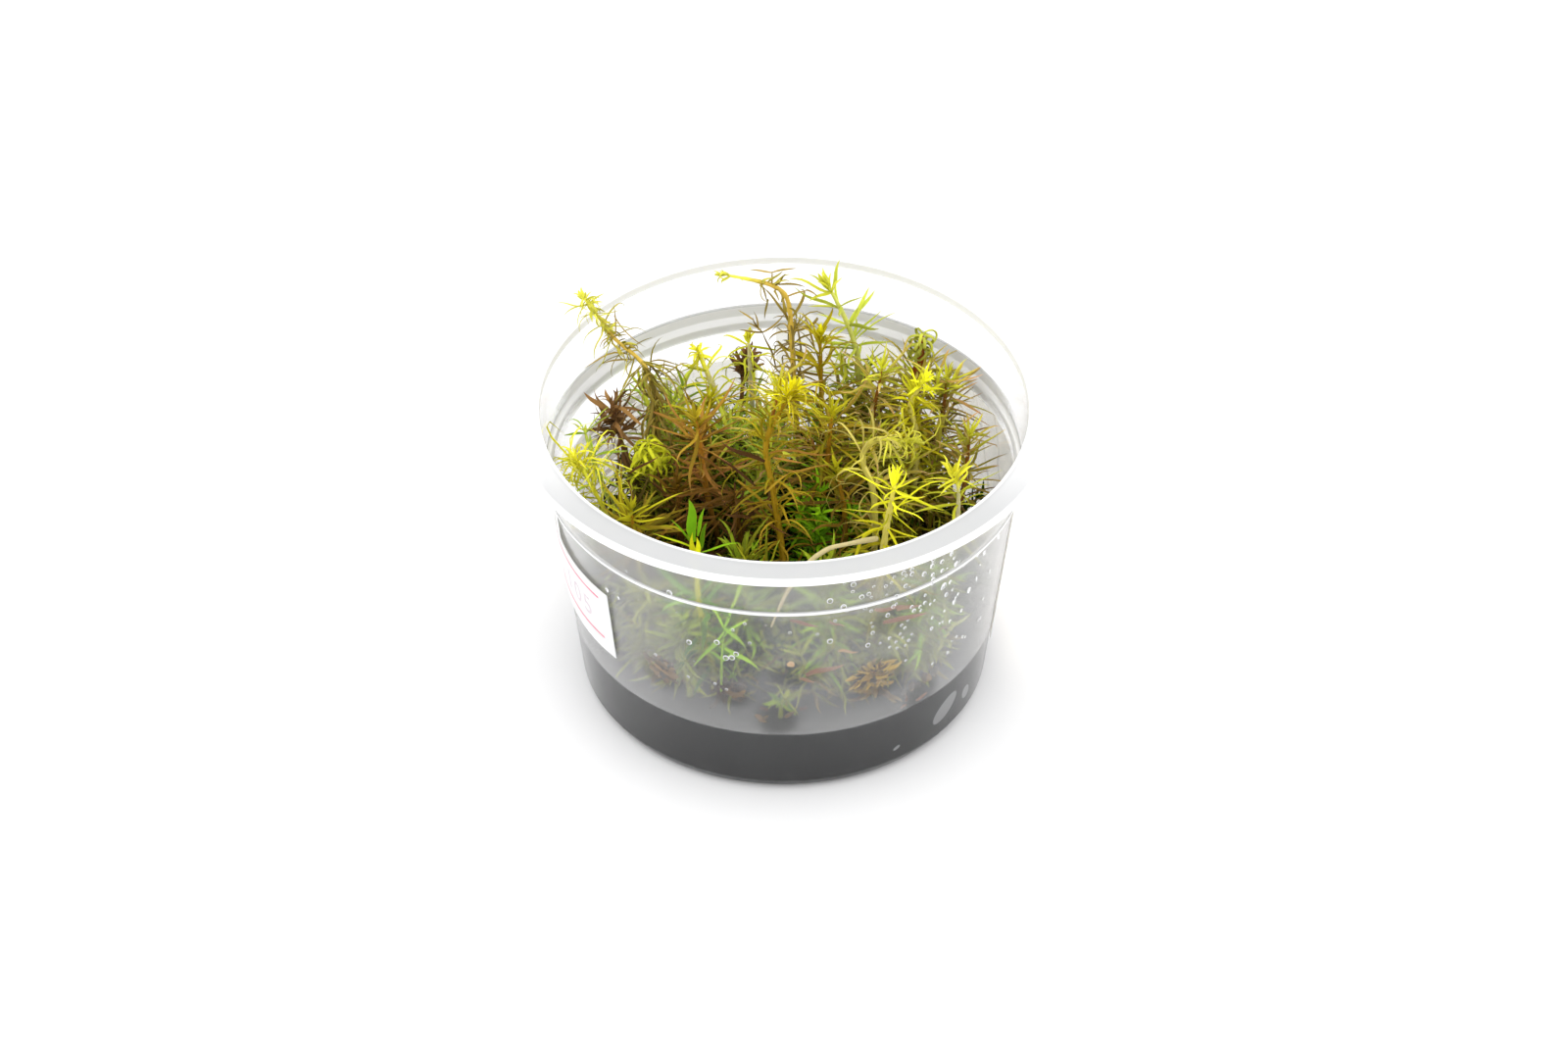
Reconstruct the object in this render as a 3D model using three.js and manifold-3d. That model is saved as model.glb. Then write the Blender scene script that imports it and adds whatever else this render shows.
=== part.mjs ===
// A clump of whorly rotala shoots growing on dark gel in a clear tissue-culture cup.
// Millimetres, +Z up. The origin is the centre of the cup's base, where it rests.

import * as THREE from 'three';
import * as BufferGeometryUtils from 'three/addons/utils/BufferGeometryUtils.js';
import Module from 'manifold-3d';

// Cup
const turns = 36;
const wall = 0.75;
const floorTop = 0.85;
const baseRadius = 36.4;
const footEase = 1.8;
const footEaseHeight = 0.8;
const insideFootEase = 1.2;
const footCornerRadius = 39.2;
const footCornerHeight = 2.6;
const ledgeRadius = 44.1;
const ledgeHeight = 48.1;
const bandRadius = 45.3;
const bandHeight = 48.9;
const mouthRadius = 45.6;
const flangeRadius = 51;
const flangeTop = 62.1;
const flangeThickness = 1;
const skirtDepth = 1.3;
const skirtDraft = 0.05;
const edgeRound = 0.4;

// Gel
const gelTop = 15.5;
const gelCorner = 2;
const gelFootEase = 0.8;
const gap = 0.3;
const socketSides = 5;
const socketDepth = 3;
const socketClearance = 0.35;
const collarRise = 0.2;

// Paper labels on the outside of the wall
const paper = 0.2;
const labelStep = 9;

// Stems
const stemTaper = 0.35;
const budLength = 2.2;
const bareSpan = 22;
const reserveSpan = 3;

// Whorls: the highest is tipMargin below the stem's end, and they are closer together near it
const whorlBand = 1.05;
const tipMargin = 1.2;
const tipPace = 0.62;
const paceGrowth = 1.16;
const youngWhorls = 2;
const youngLength = 0.72;

// Leaves: how each differs from the next, and how it makes room for those grown before it
const leafSwing = 14;
const leafPitchSpread = 12;
const leafLengths = [0.85, 1.08];
const leafMiddle = 0.45;
const rimSpread = 1.2;
const waistShare = 0.6;
const bladeThickness = 0.5;
const leafGap = 0.12;
const tipRadius = 0.05;
const leafTries = 14;
const triedShrink = 0.04;
const triedPitch = 3;
const rimClearance = 0.5;

const mergeDistance = 1e-4;

const colours = {
  cup: 0xe8eaec,
  gel: 0x3a3b3d,
  paper: 0xf2f0ec,
  yellow: 0xc9cf1e,
  olive: 0x8a8a1c,
  red: 0x8a5a2a,
  green: 0x5fa81f,
  dead: 0x4a3020,
};

// How each kind of shoot grows. Pitch is the angle of the leaves above the level of their
// whorl, from the lowest whorl to the highest, in degrees. Hang is how far they sag, bend is
// how far a blade turns up beyond its middle, in degrees, and blade is its width.
const kinds = {
  wiry: { colour: 'olive', sides: 5, radius: 0.7, step: 4.1, leaf: 8, pitch: [-20, 12], hang: 0.5 },
  yellow: { colour: 'yellow', sides: 5, radius: 0.75, step: 3.9, leaf: 9, pitch: [-18, 24], hang: 0.12 },
  olive: { colour: 'olive', sides: 5, radius: 0.8, step: 4.3, leaf: 9.5, pitch: [0, 38] },
  red: { colour: 'red', sides: 5, radius: 0.85, step: 4.3, leaf: 9.5, pitch: [4, 42] },
  green: {
    colour: 'green', sides: 4, radius: 0.9, step: 6.5, leaf: 9.6, pitch: [12, 40], bend: 12, blade: 1.7,
  },
  dead: {
    colour: 'dead', sides: 5, radius: 1, step: 3, leaf: 6.5, pitch: [10, 50], bend: 10, blade: 2.2,
  },
};

// Every shoot stands in the gel at [x, y] and climbs through its points. Leaves start at
// the height leafy. They are listed from the most visible to the least.
const shoots = [
  { name: 'shoot_back_arched', kind: 'wiry', leafy: 45, foot: [4, 20], hang: 0.8,
    path: [
      [2.3, 22, 42], [1.5, 24, 57.6], [0.6, 24, 68.2],
      [-1.8, 22, 72.6], [-5.5, 20.5, 75.1], [-10.6, 20, 76.7],
    ] },
  { name: 'shoot_left_tall', kind: 'wiry', leafy: 44, foot: [-19, 12],
    path: [
      [-23.5, 13, 35], [-24.9, 14, 53.8], [-26.3, 14, 60],
      [-31.8, 16, 64.7], [-33.9, 16, 68.4], [-37.2, 16, 73.9],
    ] },
  { name: 'shoot_star_centre', kind: 'yellow', leafy: 36, foot: [1, -19],
    path: [[-0.4, -16, 40], [-2.2, -12, 51.9], [-3.3, -7, 58.3], [0.9, -1, 64.5]] },
  { name: 'shoot_green_back', kind: 'green', leafy: 46, foot: [14, 25],
    path: [[14.4, 27, 49.4], [12.6, 27, 58.6], [8.6, 27, 68.7]] },
  { name: 'shoot_yellow_front', kind: 'yellow', leafy: 41, foot: [16, -25],
    path: [[17.8, -27, 45], [18.6, -27, 54], [20, -26, 63.8]] },
  { name: 'shoot_curl_right', kind: 'yellow', leafy: 43, foot: [15, -15],
    path: [[17, -14, 40], [16.2, -12, 52.5], [14.4, -10, 57], [16.6, -9.2, 60.6], [22.2, -11, 61.8]] },
  { name: 'shoot_star_right', kind: 'yellow', leafy: 38, foot: [28, -13],
    path: [[32, -13.5, 42], [32.3, -13, 51.3], [31.7, -13, 54.8]] },
  { name: 'shoot_left_head', kind: 'yellow', leafy: 34, foot: [-27, -4],
    path: [[-33.6, -3.2, 38], [-38.3, -2.4, 49]] },
  { name: 'shoot_rosette_left', kind: 'yellow', leafy: 36, foot: [-22, 1],
    path: [[-25, 3, 40], [-25.5, 4, 48]] },
  { name: 'shoot_left_mid', kind: 'red', leafy: 38, foot: [-11, 0],
    path: [[-14.5, 0, 40], [-16.3, 2, 55.6]] },
  { name: 'shoot_yellow_right', kind: 'olive', leafy: 34, foot: [20, 2],
    path: [[24.9, 4, 40.6], [24.8, 8, 50.5], [23.7, 9, 54.5], [26, 10, 58.4]] },
  { name: 'shoot_yellow_back_left', kind: 'yellow', leafy: 40, foot: [-7, 20],
    path: [[-11, 22, 40], [-13.9, 23, 48.7], [-16.1, 24, 54.6]] },
  { name: 'shoot_curl_back', kind: 'red', leafy: 40, foot: [23, 19],
    path: [[25, 23, 45], [25.8, 24.2, 52], [26.4, 25, 57.5]] },
  { name: 'shoot_right_red', kind: 'red', leafy: 36, foot: [27, 12],
    path: [[30, 16.5, 42], [31, 18, 53]] },
  { name: 'shoot_bud_back', kind: 'olive', leafy: 40, foot: [8, 17],
    path: [[7.2, 20.5, 45], [6.9, 22, 60.5]] },
  { name: 'shoot_slim_back', kind: 'wiry', leafy: 42, foot: [-5, 26],
    path: [[-6.4, 26.5, 46], [-6.8, 27, 55.8]] },
  { name: 'shoot_left_small', kind: 'green', leafy: 38, foot: [-29, 6],
    path: [[-34.5, 7, 36], [-36.6, 7, 44.5], [-37.6, 8, 48.2]] },
  { name: 'shoot_left_front', kind: 'olive', leafy: 32, foot: [-22, -13],
    path: [[-27, -15, 38], [-28.3, -16, 48.5]] },
  { name: 'shoot_green_front', kind: 'green', leafy: 24, foot: [-13, -26],
    path: [[-15.5, -29, 38], [-16, -29.5, 50]] },
  { name: 'shoot_dark_mid', kind: 'red', leafy: 30, foot: [-6, -9],
    path: [[-8, -10, 35], [-9, -10, 47]] },
  { name: 'shoot_mid_back', kind: 'red', leafy: 38, foot: [-2, 8],
    path: [[-3, 9.5, 45], [-1, 10, 57]] },
  { name: 'shoot_mid_right', kind: 'olive', leafy: 36, foot: [6, 3],
    path: [[8, 5, 42], [9, 6, 54]] },
  { name: 'shoot_mid_left', kind: 'olive', leafy: 36, foot: [-14, 11],
    path: [[-15.5, 13, 42], [-14, 14, 51]] },
  { name: 'shoot_back_right', kind: 'olive', leafy: 38, foot: [16, 15],
    path: [[17, 17.5, 44], [18.5, 18, 55]] },
  { name: 'shoot_right_edge', kind: 'red', leafy: 30, foot: [30, 2],
    path: [[34, 3, 38], [35, 5, 49.5]] },
  { name: 'shoot_inner_right', kind: 'olive', leafy: 30, foot: [11, -6],
    path: [[11.5, -4, 38], [10, -3.5, 48]] },
  { name: 'shoot_inner_left', kind: 'red', leafy: 30, foot: [-17, -8],
    path: [[-19.5, -7.5, 36], [-20, -6.5, 46.5]] },
  { name: 'shoot_front_left', kind: 'olive', leafy: 22, foot: [-6, -23],
    path: [[-7, -23, 32], [-7.5, -22, 42.5]] },
  { name: 'shoot_front_mid', kind: 'olive', leafy: 22, foot: [7, -26],
    path: [[8, -27, 32], [7.5, -27, 43.5]] },
  { name: 'shoot_front_right', kind: 'olive', leafy: 24, foot: [25, -21],
    path: [[27, -23, 34], [27, -23.5, 44]] },
  { name: 'shoot_low_green', kind: 'green', leafy: 19, foot: [-17.5, -28],
    path: [[-19, -29.5, 27], [-18.5, -30, 33]] },
  { name: 'shoot_small_front', kind: 'green', leafy: 17.5, foot: [-0.6, -34], leaf: 5, step: 2.2,
    path: [[-0.4, -34.1, 18], [0.6, -34, 20.4]] },
  { name: 'dead_top_left', kind: 'dead', leafy: 42, foot: [-27, 12],
    path: [[-30.5, 14, 38], [-32.6, 14.5, 48.5]] },
  { name: 'dead_top_back', kind: 'dead', leafy: 42, foot: [-9, 31],
    path: [[-8, 31.5, 42], [-7.4, 31.5, 48.5]] },
  { name: 'dead_clump_left', kind: 'dead', leafy: 16.2, foot: [-22.3, -21], radius: 0.8, leaf: 5, step: 2.2,
    path: [[-22.8, -23, 17.6], [-22.6, -26, 19.6]] },
  { name: 'dead_clump_front', kind: 'dead', leafy: 16.2, foot: [-9.6, -29], radius: 0.8, leaf: 4.5, step: 2,
    path: [[-10.2, -30.5, 17.6], [-11, -32, 19.4]] },
  { name: 'dead_clump_right', kind: 'dead', leafy: 16.2, foot: [18, -28], radius: 0.8, leaf: 5, step: 2.2,
    path: [[17.6, -29.6, 17.6], [16.8, -31.6, 20.4]] },
];

// An old pale runner lies across the front shoots, just below the rim.
const runner = {
  name: 'runner_pale', radius: 0.75, sides: 6, colour: 'yellow',
  path: [[17.1, -28.3, 53], [11.5, -33, 55.6], [7.1, -34.6, 55.4], [1.5, -38, 51], [-2.5, -41.6, 43]],
};
const runnerSteps = 8;

const labels = [
  { name: 'label_price', from: -174, to: -138.5, low: [23.2, 23.2], high: [39.6, 39.6] },
  { name: 'label_back_large', from: -5, to: 92, low: [7, 9], high: [44.8, 47.4] },
  { name: 'label_back_small', from: 97, to: 160, low: [17, 16], high: [39.8, 39.4] },
];

// A fixed sequence of numbers between 0 and 1, so the leaves always fall the same way.
let seed = 20817;
function random() {
  seed = (seed * 16807) % 2147483647;
  return seed / 2147483647;
}
function between(low, high) {
  return low + (high - low) * random();
}

// Gathers the corners and triangles of one closed surface.
class Surface {
  constructor() {
    this.corners = [];
    this.triangles = [];
  }

  corner(point) {
    this.corners.push(point.x, point.y, point.z);
    return this.corners.length / 3 - 1;
  }

  ring(points) {
    return points.map((point) => this.corner(point));
  }

  triangle(a, b, c) {
    this.triangles.push(a, b, c);
  }

  quad(a, b, c, d) {
    this.triangle(a, b, c);
    this.triangle(a, c, d);
  }

  // Joins two rings of the same count with a band of quads.
  band(lower, upper) {
    for (let side = 0; side < lower.length; side += 1) {
      const next = (side + 1) % lower.length;
      this.quad(lower[side], lower[next], upper[next], upper[side]);
    }
  }

  // Closes the first ring of a loft, whose outside looks backwards.
  floor(ring) {
    for (let side = 1; side < ring.length - 1; side += 1) {
      this.triangle(ring[0], ring[side + 1], ring[side]);
    }
  }

  roof(ring) {
    for (let side = 1; side < ring.length - 1; side += 1) {
      this.triangle(ring[0], ring[side], ring[side + 1]);
    }
  }

  peak(ring, point) {
    const tip = this.corner(point);
    for (let side = 0; side < ring.length; side += 1) {
      this.triangle(ring[side], ring[(side + 1) % ring.length], tip);
    }
  }

  geometry() {
    const result = new THREE.BufferGeometry();
    result.setAttribute('position', new THREE.Float32BufferAttribute(this.corners, 3));
    result.setIndex(this.triangles);
    return result;
  }
}

function material(colour, roughness) {
  const settings = { color: colours[colour], roughness, metalness: 0, flatShading: true };
  if (colour === 'cup') {
    settings.transparent = true;
    settings.opacity = 0.35;
  }
  return new THREE.MeshStandardMaterial(settings);
}

function named(name, geometry, colour, roughness) {
  const mesh = new THREE.Mesh(geometry, material(colour, roughness));
  mesh.name = name;
  return mesh;
}

// The outer wall's radius at a height, from the foot corner to the flange.
function outerRadius(z) {
  if (z < ledgeHeight) {
    const rise = (z - footCornerHeight) / (ledgeHeight - footCornerHeight);
    return footCornerRadius + (ledgeRadius - footCornerRadius) * rise;
  }
  const rise = Math.min((z - bandHeight) / (flangeTop - bandHeight), 1);
  return bandRadius + (mouthRadius + wall - bandRadius) * Math.max(rise, 0);
}

function innerRadius(z) {
  return outerRadius(z) - wall;
}

function lathe(profile) {
  const points = profile.map(([radius, height]) => new THREE.Vector2(radius, height));
  const geometry = new THREE.LatheGeometry(points, turns);
  geometry.rotateX(Math.PI / 2);
  geometry.deleteAttribute('normal');
  geometry.deleteAttribute('uv');
  return BufferGeometryUtils.mergeVertices(geometry, mergeDistance);
}

// The cup is one thin moulding: base, tapered wall, stacking ledge and flat flange with a skirt.
function cup() {
  const underFlange = flangeTop - flangeThickness;
  const skirtFoot = flangeTop - skirtDepth;
  const skirtInside = flangeRadius - wall;
  const profile = [
    [0, 0],
    [baseRadius, 0],
    [baseRadius + footEase, footEaseHeight],
    [footCornerRadius, footCornerHeight],
    [ledgeRadius, ledgeHeight],
    [bandRadius, bandHeight],
    [mouthRadius + wall, underFlange],
    [skirtInside, underFlange],
    [skirtInside + skirtDraft, skirtFoot],
    [flangeRadius, skirtFoot],
    [flangeRadius, flangeTop - edgeRound],
    [flangeRadius - edgeRound, flangeTop],
    [mouthRadius + edgeRound, flangeTop],
    [mouthRadius, flangeTop - edgeRound],
    [bandRadius - wall, bandHeight + gap],
    [ledgeRadius - wall, ledgeHeight + gap],
    [footCornerRadius - wall, footCornerHeight + gap],
    [baseRadius + insideFootEase, footEaseHeight + wall],
    [baseRadius - gap, floorTop],
    [0, floorTop],
  ];
  return named('cup', lathe(profile), 'cup', 0.35);
}

function solidFrom(geometry, wasm) {
  const merged = BufferGeometryUtils.mergeVertices(geometry, mergeDistance);
  return new wasm.Manifold(new wasm.Mesh({
    numProp: 3,
    vertProperties: new Float32Array(merged.attributes.position.array),
    triVerts: new Uint32Array(merged.index.array),
  }));
}

function geometryFrom(solid) {
  const mesh = solid.getMesh();
  const geometry = new THREE.BufferGeometry();
  geometry.setAttribute('position', new THREE.Float32BufferAttribute(mesh.vertProperties, 3));
  geometry.setIndex(new THREE.Uint32BufferAttribute(mesh.triVerts, 1));
  return geometry;
}

// A prism for the hole that a stem stands in.
function socket(x, y, radius) {
  const surface = new Surface();
  const heights = [gelTop - socketDepth - gap, gelTop + gap];
  const rings = heights.map((z) => {
    const points = [];
    for (let side = 0; side < socketSides; side += 1) {
      const angle = (side / socketSides) * 2 * Math.PI;
      points.push(new THREE.Vector3(x + radius * Math.cos(angle), y + radius * Math.sin(angle), z));
    }
    return surface.ring(points);
  });
  surface.band(rings[0], rings[1]);
  surface.floor(rings[0]);
  surface.roof(rings[1]);
  return surface.geometry();
}

// The gel fills the bottom of the cup, with a hole around every stem.
function gel(wasm) {
  const profile = [
    [0, floorTop + gap],
    [baseRadius - 2 * gap, floorTop + gap],
    [baseRadius + gelFootEase, gelCorner],
    [innerRadius(footCornerHeight + gap) - gap, footCornerHeight + 2 * gap],
    [innerRadius(gelTop) - gap, gelTop],
    [0, gelTop],
  ];
  let solid = solidFrom(lathe(profile), wasm);
  for (const { foot, kind, radius } of shoots) {
    const hole = (radius ?? kinds[kind].radius) / Math.cos(Math.PI / socketSides) + socketClearance;
    solid = solid.subtract(solidFrom(socket(foot[0], foot[1], hole), wasm));
  }
  return named('gel', geometryFrom(solid), 'gel', 0.4);
}

// A paper label follows the wall from one azimuth to another, with its own edge heights.
function label({ name, from, to, low, high }) {
  const surface = new Surface();
  const steps = Math.ceil((to - from) / labelStep);
  const rings = [];
  for (let step = 0; step <= steps; step += 1) {
    const along = step / steps;
    const angle = THREE.MathUtils.degToRad(THREE.MathUtils.lerp(from, to, along));
    const bottom = THREE.MathUtils.lerp(low[0], low[1], along);
    const top = THREE.MathUtils.lerp(high[0], high[1], along);
    const section = [[gap, bottom], [gap + paper, bottom], [gap + paper, top], [gap, top]];
    rings.push(surface.ring(section.map(([out, z]) => {
      const radius = outerRadius(z) + out;
      return new THREE.Vector3(radius * Math.cos(angle), radius * Math.sin(angle), z);
    })));
  }
  for (let step = 0; step < steps; step += 1) {
    surface.band(rings[step + 1], rings[step]);
  }
  surface.roof(rings[0]);
  surface.floor(rings[steps]);
  return named(name, surface.geometry(), 'paper', 0.9);
}

// Tapered rods that later leaves must keep clear of.
const rods = [];

// The least distance between two straight rods, less their own thickness there.
function clearance(one, other) {
  const d1 = one.end.clone().sub(one.start);
  const d2 = other.end.clone().sub(other.start);
  const r = one.start.clone().sub(other.start);
  const a = d1.lengthSq();
  const e = d2.lengthSq();
  const b = d1.dot(d2);
  const c = d1.dot(r);
  const f = d2.dot(r);
  const spread = a * e - b * b;
  let s = spread > 1e-9 ? THREE.MathUtils.clamp((b * f - c * e) / spread, 0, 1) : 0;
  const t = THREE.MathUtils.clamp((b * s + f) / e, 0, 1);
  s = THREE.MathUtils.clamp((b * t - c) / a, 0, 1);
  const nearOne = one.start.clone().addScaledVector(d1, s);
  const nearOther = other.start.clone().addScaledVector(d2, t);
  const radius = THREE.MathUtils.lerp(one.from, one.to, s);
  const otherRadius = THREE.MathUtils.lerp(other.from, other.to, t);
  return nearOne.distanceTo(nearOther) - radius - otherRadius;
}

// Whether a leaf tip stays inside the cup's wall, above the gel and off the flange.
function insideCup(point) {
  const reach = Math.hypot(point.x, point.y);
  if (point.z < gelTop + gap) {
    return false;
  }
  if (point.z < flangeTop + gap) {
    return reach < innerRadius(Math.min(point.z, flangeTop)) - rimClearance;
  }
  return reach < flangeRadius - rimClearance;
}

// A leaf keeps clear of all others. It may touch its own whorl and, near its foot, its own stem.
function leafFits(leafRods, shoot, whorl) {
  for (const leaf of leafRods) {
    for (const rod of rods) {
      const own = rod.shoot === shoot;
      const allowed = own && (rod.whorl === whorl || (rod.isStem && leaf === leafRods[0]));
      if (!allowed && clearance(leaf, rod) < leafGap) {
        return false;
      }
    }
  }
  return leafRods.every((leaf) => insideCup(leaf.end));
}

// One leaf of a whorl: it grows out of the stem's side and ends in a fine tip. A blade has
// a wider, flatter middle. Where no try finds room, the stem's side is left bare.
function growLeaf(surface, base, growth, shoot, whorl) {
  const [a, b, c, d] = base.points;
  const centre = a.clone().add(b).add(c).add(d).multiplyScalar(0.25);
  const across = b.clone().sub(a).normalize();
  for (let attempt = 0; attempt < leafTries; attempt += 1) {
    const shrink = 1 - triedShrink * attempt;
    const swing = THREE.MathUtils.degToRad(between(-leafSwing, leafSwing));
    const spread = between(-leafPitchSpread, leafPitchSpread) + between(-triedPitch, triedPitch) * attempt;
    const pitch = THREE.MathUtils.degToRad(growth.pitch + spread);
    const length = growth.length * shrink * between(...leafLengths);
    const outward = base.outward.clone().applyAxisAngle(base.along, swing);
    const aim = outward.multiplyScalar(Math.cos(pitch)).addScaledVector(base.along, Math.sin(pitch));
    aim.z -= growth.hang;
    aim.normalize();
    const bendAxis = aim.clone().cross(base.along).normalize();
    const bend = THREE.MathUtils.degToRad(growth.bend);
    const middle = centre.clone().addScaledVector(aim, leafMiddle * length);
    const onward = aim.clone().applyAxisAngle(bendAxis, -bend);
    const tip = middle.clone().addScaledVector(onward, (1 - leafMiddle) * length);
    const half = base.width / 2;
    const waist = growth.blade ? growth.blade / 2 : half * waistShare;
    const leafRods = [
      { start: centre, end: middle, from: half * rimSpread, to: waist, shoot, whorl },
      { start: middle, end: tip, from: waist, to: tipRadius, shoot, whorl },
    ];
    if (leafFits(leafRods, shoot, whorl)) {
      rods.push(...leafRods);
      const rim = base.indices;
      if (growth.blade) {
        const thick = bendAxis.clone().cross(aim).normalize().multiplyScalar(bladeThickness / 2);
        const side = across.clone().multiplyScalar(waist);
        const waistRing = surface.ring([
          middle.clone().sub(side).sub(thick),
          middle.clone().add(side).sub(thick),
          middle.clone().add(side).add(thick),
          middle.clone().sub(side).add(thick),
        ]);
        surface.band(rim, waistRing);
        surface.peak(waistRing, tip);
      } else {
        surface.peak(rim, tip);
      }
      return;
    }
  }
  surface.quad(...base.indices);
}

// The places along a stem where a whorl grows, as distances from the foot.
function whorlDistances(curve, length, leafy, step) {
  const distances = [];
  let at = length - tipMargin;
  let pace = step * tipPace;
  while (at > 0 && curve.getPointAt(at / length).z > leafy) {
    distances.unshift(at);
    at -= pace;
    pace = Math.min(step, pace * paceGrowth);
  }
  return distances;
}

function stemCurve({ foot, path }) {
  const start = new THREE.Vector3(foot[0], foot[1], gelTop - socketDepth);
  const collar = new THREE.Vector3(foot[0], foot[1], gelTop + collarRise);
  const points = path.map(([x, y, z]) => new THREE.Vector3(x, y, z));
  return new THREE.CatmullRomCurve3([start, collar, ...points], false, 'centripetal');
}

// One shoot: a stem with as many sides as it has leaves to a whorl.
function shoot(setting) {
  const growth = { hang: 0, bend: 0, ...kinds[setting.kind], ...setting };
  const curve = stemCurve(setting);
  const length = curve.getLength();
  const whorls = whorlDistances(curve, length, growth.leafy, growth.step);
  const bandWidth = growth.radius * whorlBand;
  const surface = new Surface();
  const turn = (2 * Math.PI) / growth.sides;
  let normal = new THREE.Vector3(1, 0, 0);
  let tangent = new THREE.Vector3(0, 0, 1);

  function ringAt(distance, spin = 0) {
    const along = Math.min(distance / length, 1);
    const centre = curve.getPointAt(along);
    const heading = curve.getTangentAt(along);
    const tilt = new THREE.Quaternion().setFromUnitVectors(tangent, heading);
    normal = normal.clone().applyQuaternion(tilt).normalize();
    tangent = heading;
    const side = tangent.clone().cross(normal);
    const radius = growth.radius * (1 - stemTaper * along);
    const points = [];
    for (let step = 0; step < growth.sides; step += 1) {
      const angle = spin + step * turn;
      points.push(centre.clone()
        .addScaledVector(normal, radius * Math.cos(angle))
        .addScaledVector(side, radius * Math.sin(angle)));
    }
    return { centre, heading: heading.clone(), points, indices: surface.ring(points) };
  }

  const first = ringAt(0);
  surface.floor(first.indices);
  let last = first;
  const bareEnd = whorls.length > 0 ? whorls[0] : length;
  const bends = Math.max(1, Math.round(bareEnd / bareSpan));
  const collar = ringAt(socketDepth + collarRise);
  surface.band(last.indices, collar.indices);
  last = collar;
  for (let step = 1; step < bends; step += 1) {
    const bare = ringAt(socketDepth + (bareEnd - socketDepth) * (step / bends));
    surface.band(last.indices, bare.indices);
    last = bare;
  }
  whorls.forEach((distance, index) => {
    const spin = (index % 2) * turn * 0.5;
    const lower = ringAt(distance, spin);
    const upper = ringAt(distance + bandWidth, spin);
    surface.band(last.indices, lower.indices);
    const rise = whorls.length > 1 ? index / (whorls.length - 1) : 1;
    const pitch = THREE.MathUtils.lerp(growth.pitch[0], growth.pitch[1], rise * rise);
    const share = index >= whorls.length - youngWhorls ? youngLength : 1;
    for (let side = 0; side < growth.sides; side += 1) {
      const next = (side + 1) % growth.sides;
      const points = [lower.points[side], lower.points[next], upper.points[next], upper.points[side]];
      const middle = points[0].clone().add(points[1]).multiplyScalar(0.5);
      growLeaf(surface, {
        points,
        indices: [lower.indices[side], lower.indices[next], upper.indices[next], upper.indices[side]],
        outward: middle.sub(lower.centre).normalize(),
        along: lower.heading,
        width: points[0].distanceTo(points[1]),
      }, { ...growth, pitch, length: growth.leaf * share }, setting.name, index);
    }
    last = upper;
  });
  const bud = last.centre.clone().addScaledVector(last.heading, budLength);
  surface.peak(last.indices, bud);
  return named(setting.name, surface.geometry(), growth.colour, 0.6);
}

// Every stem's own line is a rod from the start, so no leaf is grown through a stem.
function reserveStem(setting, curve, radius) {
  const length = curve.getLength();
  const parts = Math.ceil(length / reserveSpan);
  for (let part = 0; part < parts; part += 1) {
    rods.push({
      start: curve.getPointAt(part / parts),
      end: curve.getPointAt((part + 1) / parts),
      from: radius,
      to: radius,
      shoot: setting.name,
      isStem: true,
    });
  }
}

function paleRunner() {
  const points = runner.path.map(([x, y, z]) => new THREE.Vector3(x, y, z));
  const curve = new THREE.CatmullRomCurve3(points);
  const section = new THREE.Shape();
  for (let side = 0; side < runner.sides; side += 1) {
    const angle = (side / runner.sides) * 2 * Math.PI;
    const corner = [runner.radius * Math.cos(angle), runner.radius * Math.sin(angle)];
    if (side === 0) {
      section.moveTo(...corner);
    } else {
      section.lineTo(...corner);
    }
  }
  const geometry = new THREE.ExtrudeGeometry(section, { steps: runnerSteps, extrudePath: curve });
  geometry.deleteAttribute('normal');
  geometry.deleteAttribute('uv');
  const merged = BufferGeometryUtils.mergeVertices(geometry, mergeDistance);
  return { curve, mesh: named(runner.name, merged, runner.colour, 0.6) };
}

const wasm = await Module();
wasm.setup();

const culture = new THREE.Group();
culture.add(cup());
culture.add(gel(wasm));
for (const setting of labels) {
  culture.add(label(setting));
}
const { curve: runnerCurve, mesh: runnerMesh } = paleRunner();
culture.add(runnerMesh);

reserveStem(runner, runnerCurve, runner.radius);
for (const setting of shoots) {
  reserveStem(setting, stemCurve(setting), setting.radius ?? kinds[setting.kind].radius);
}
for (const setting of shoots) {
  culture.add(shoot(setting));
}

export default culture;
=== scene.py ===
import math

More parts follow.
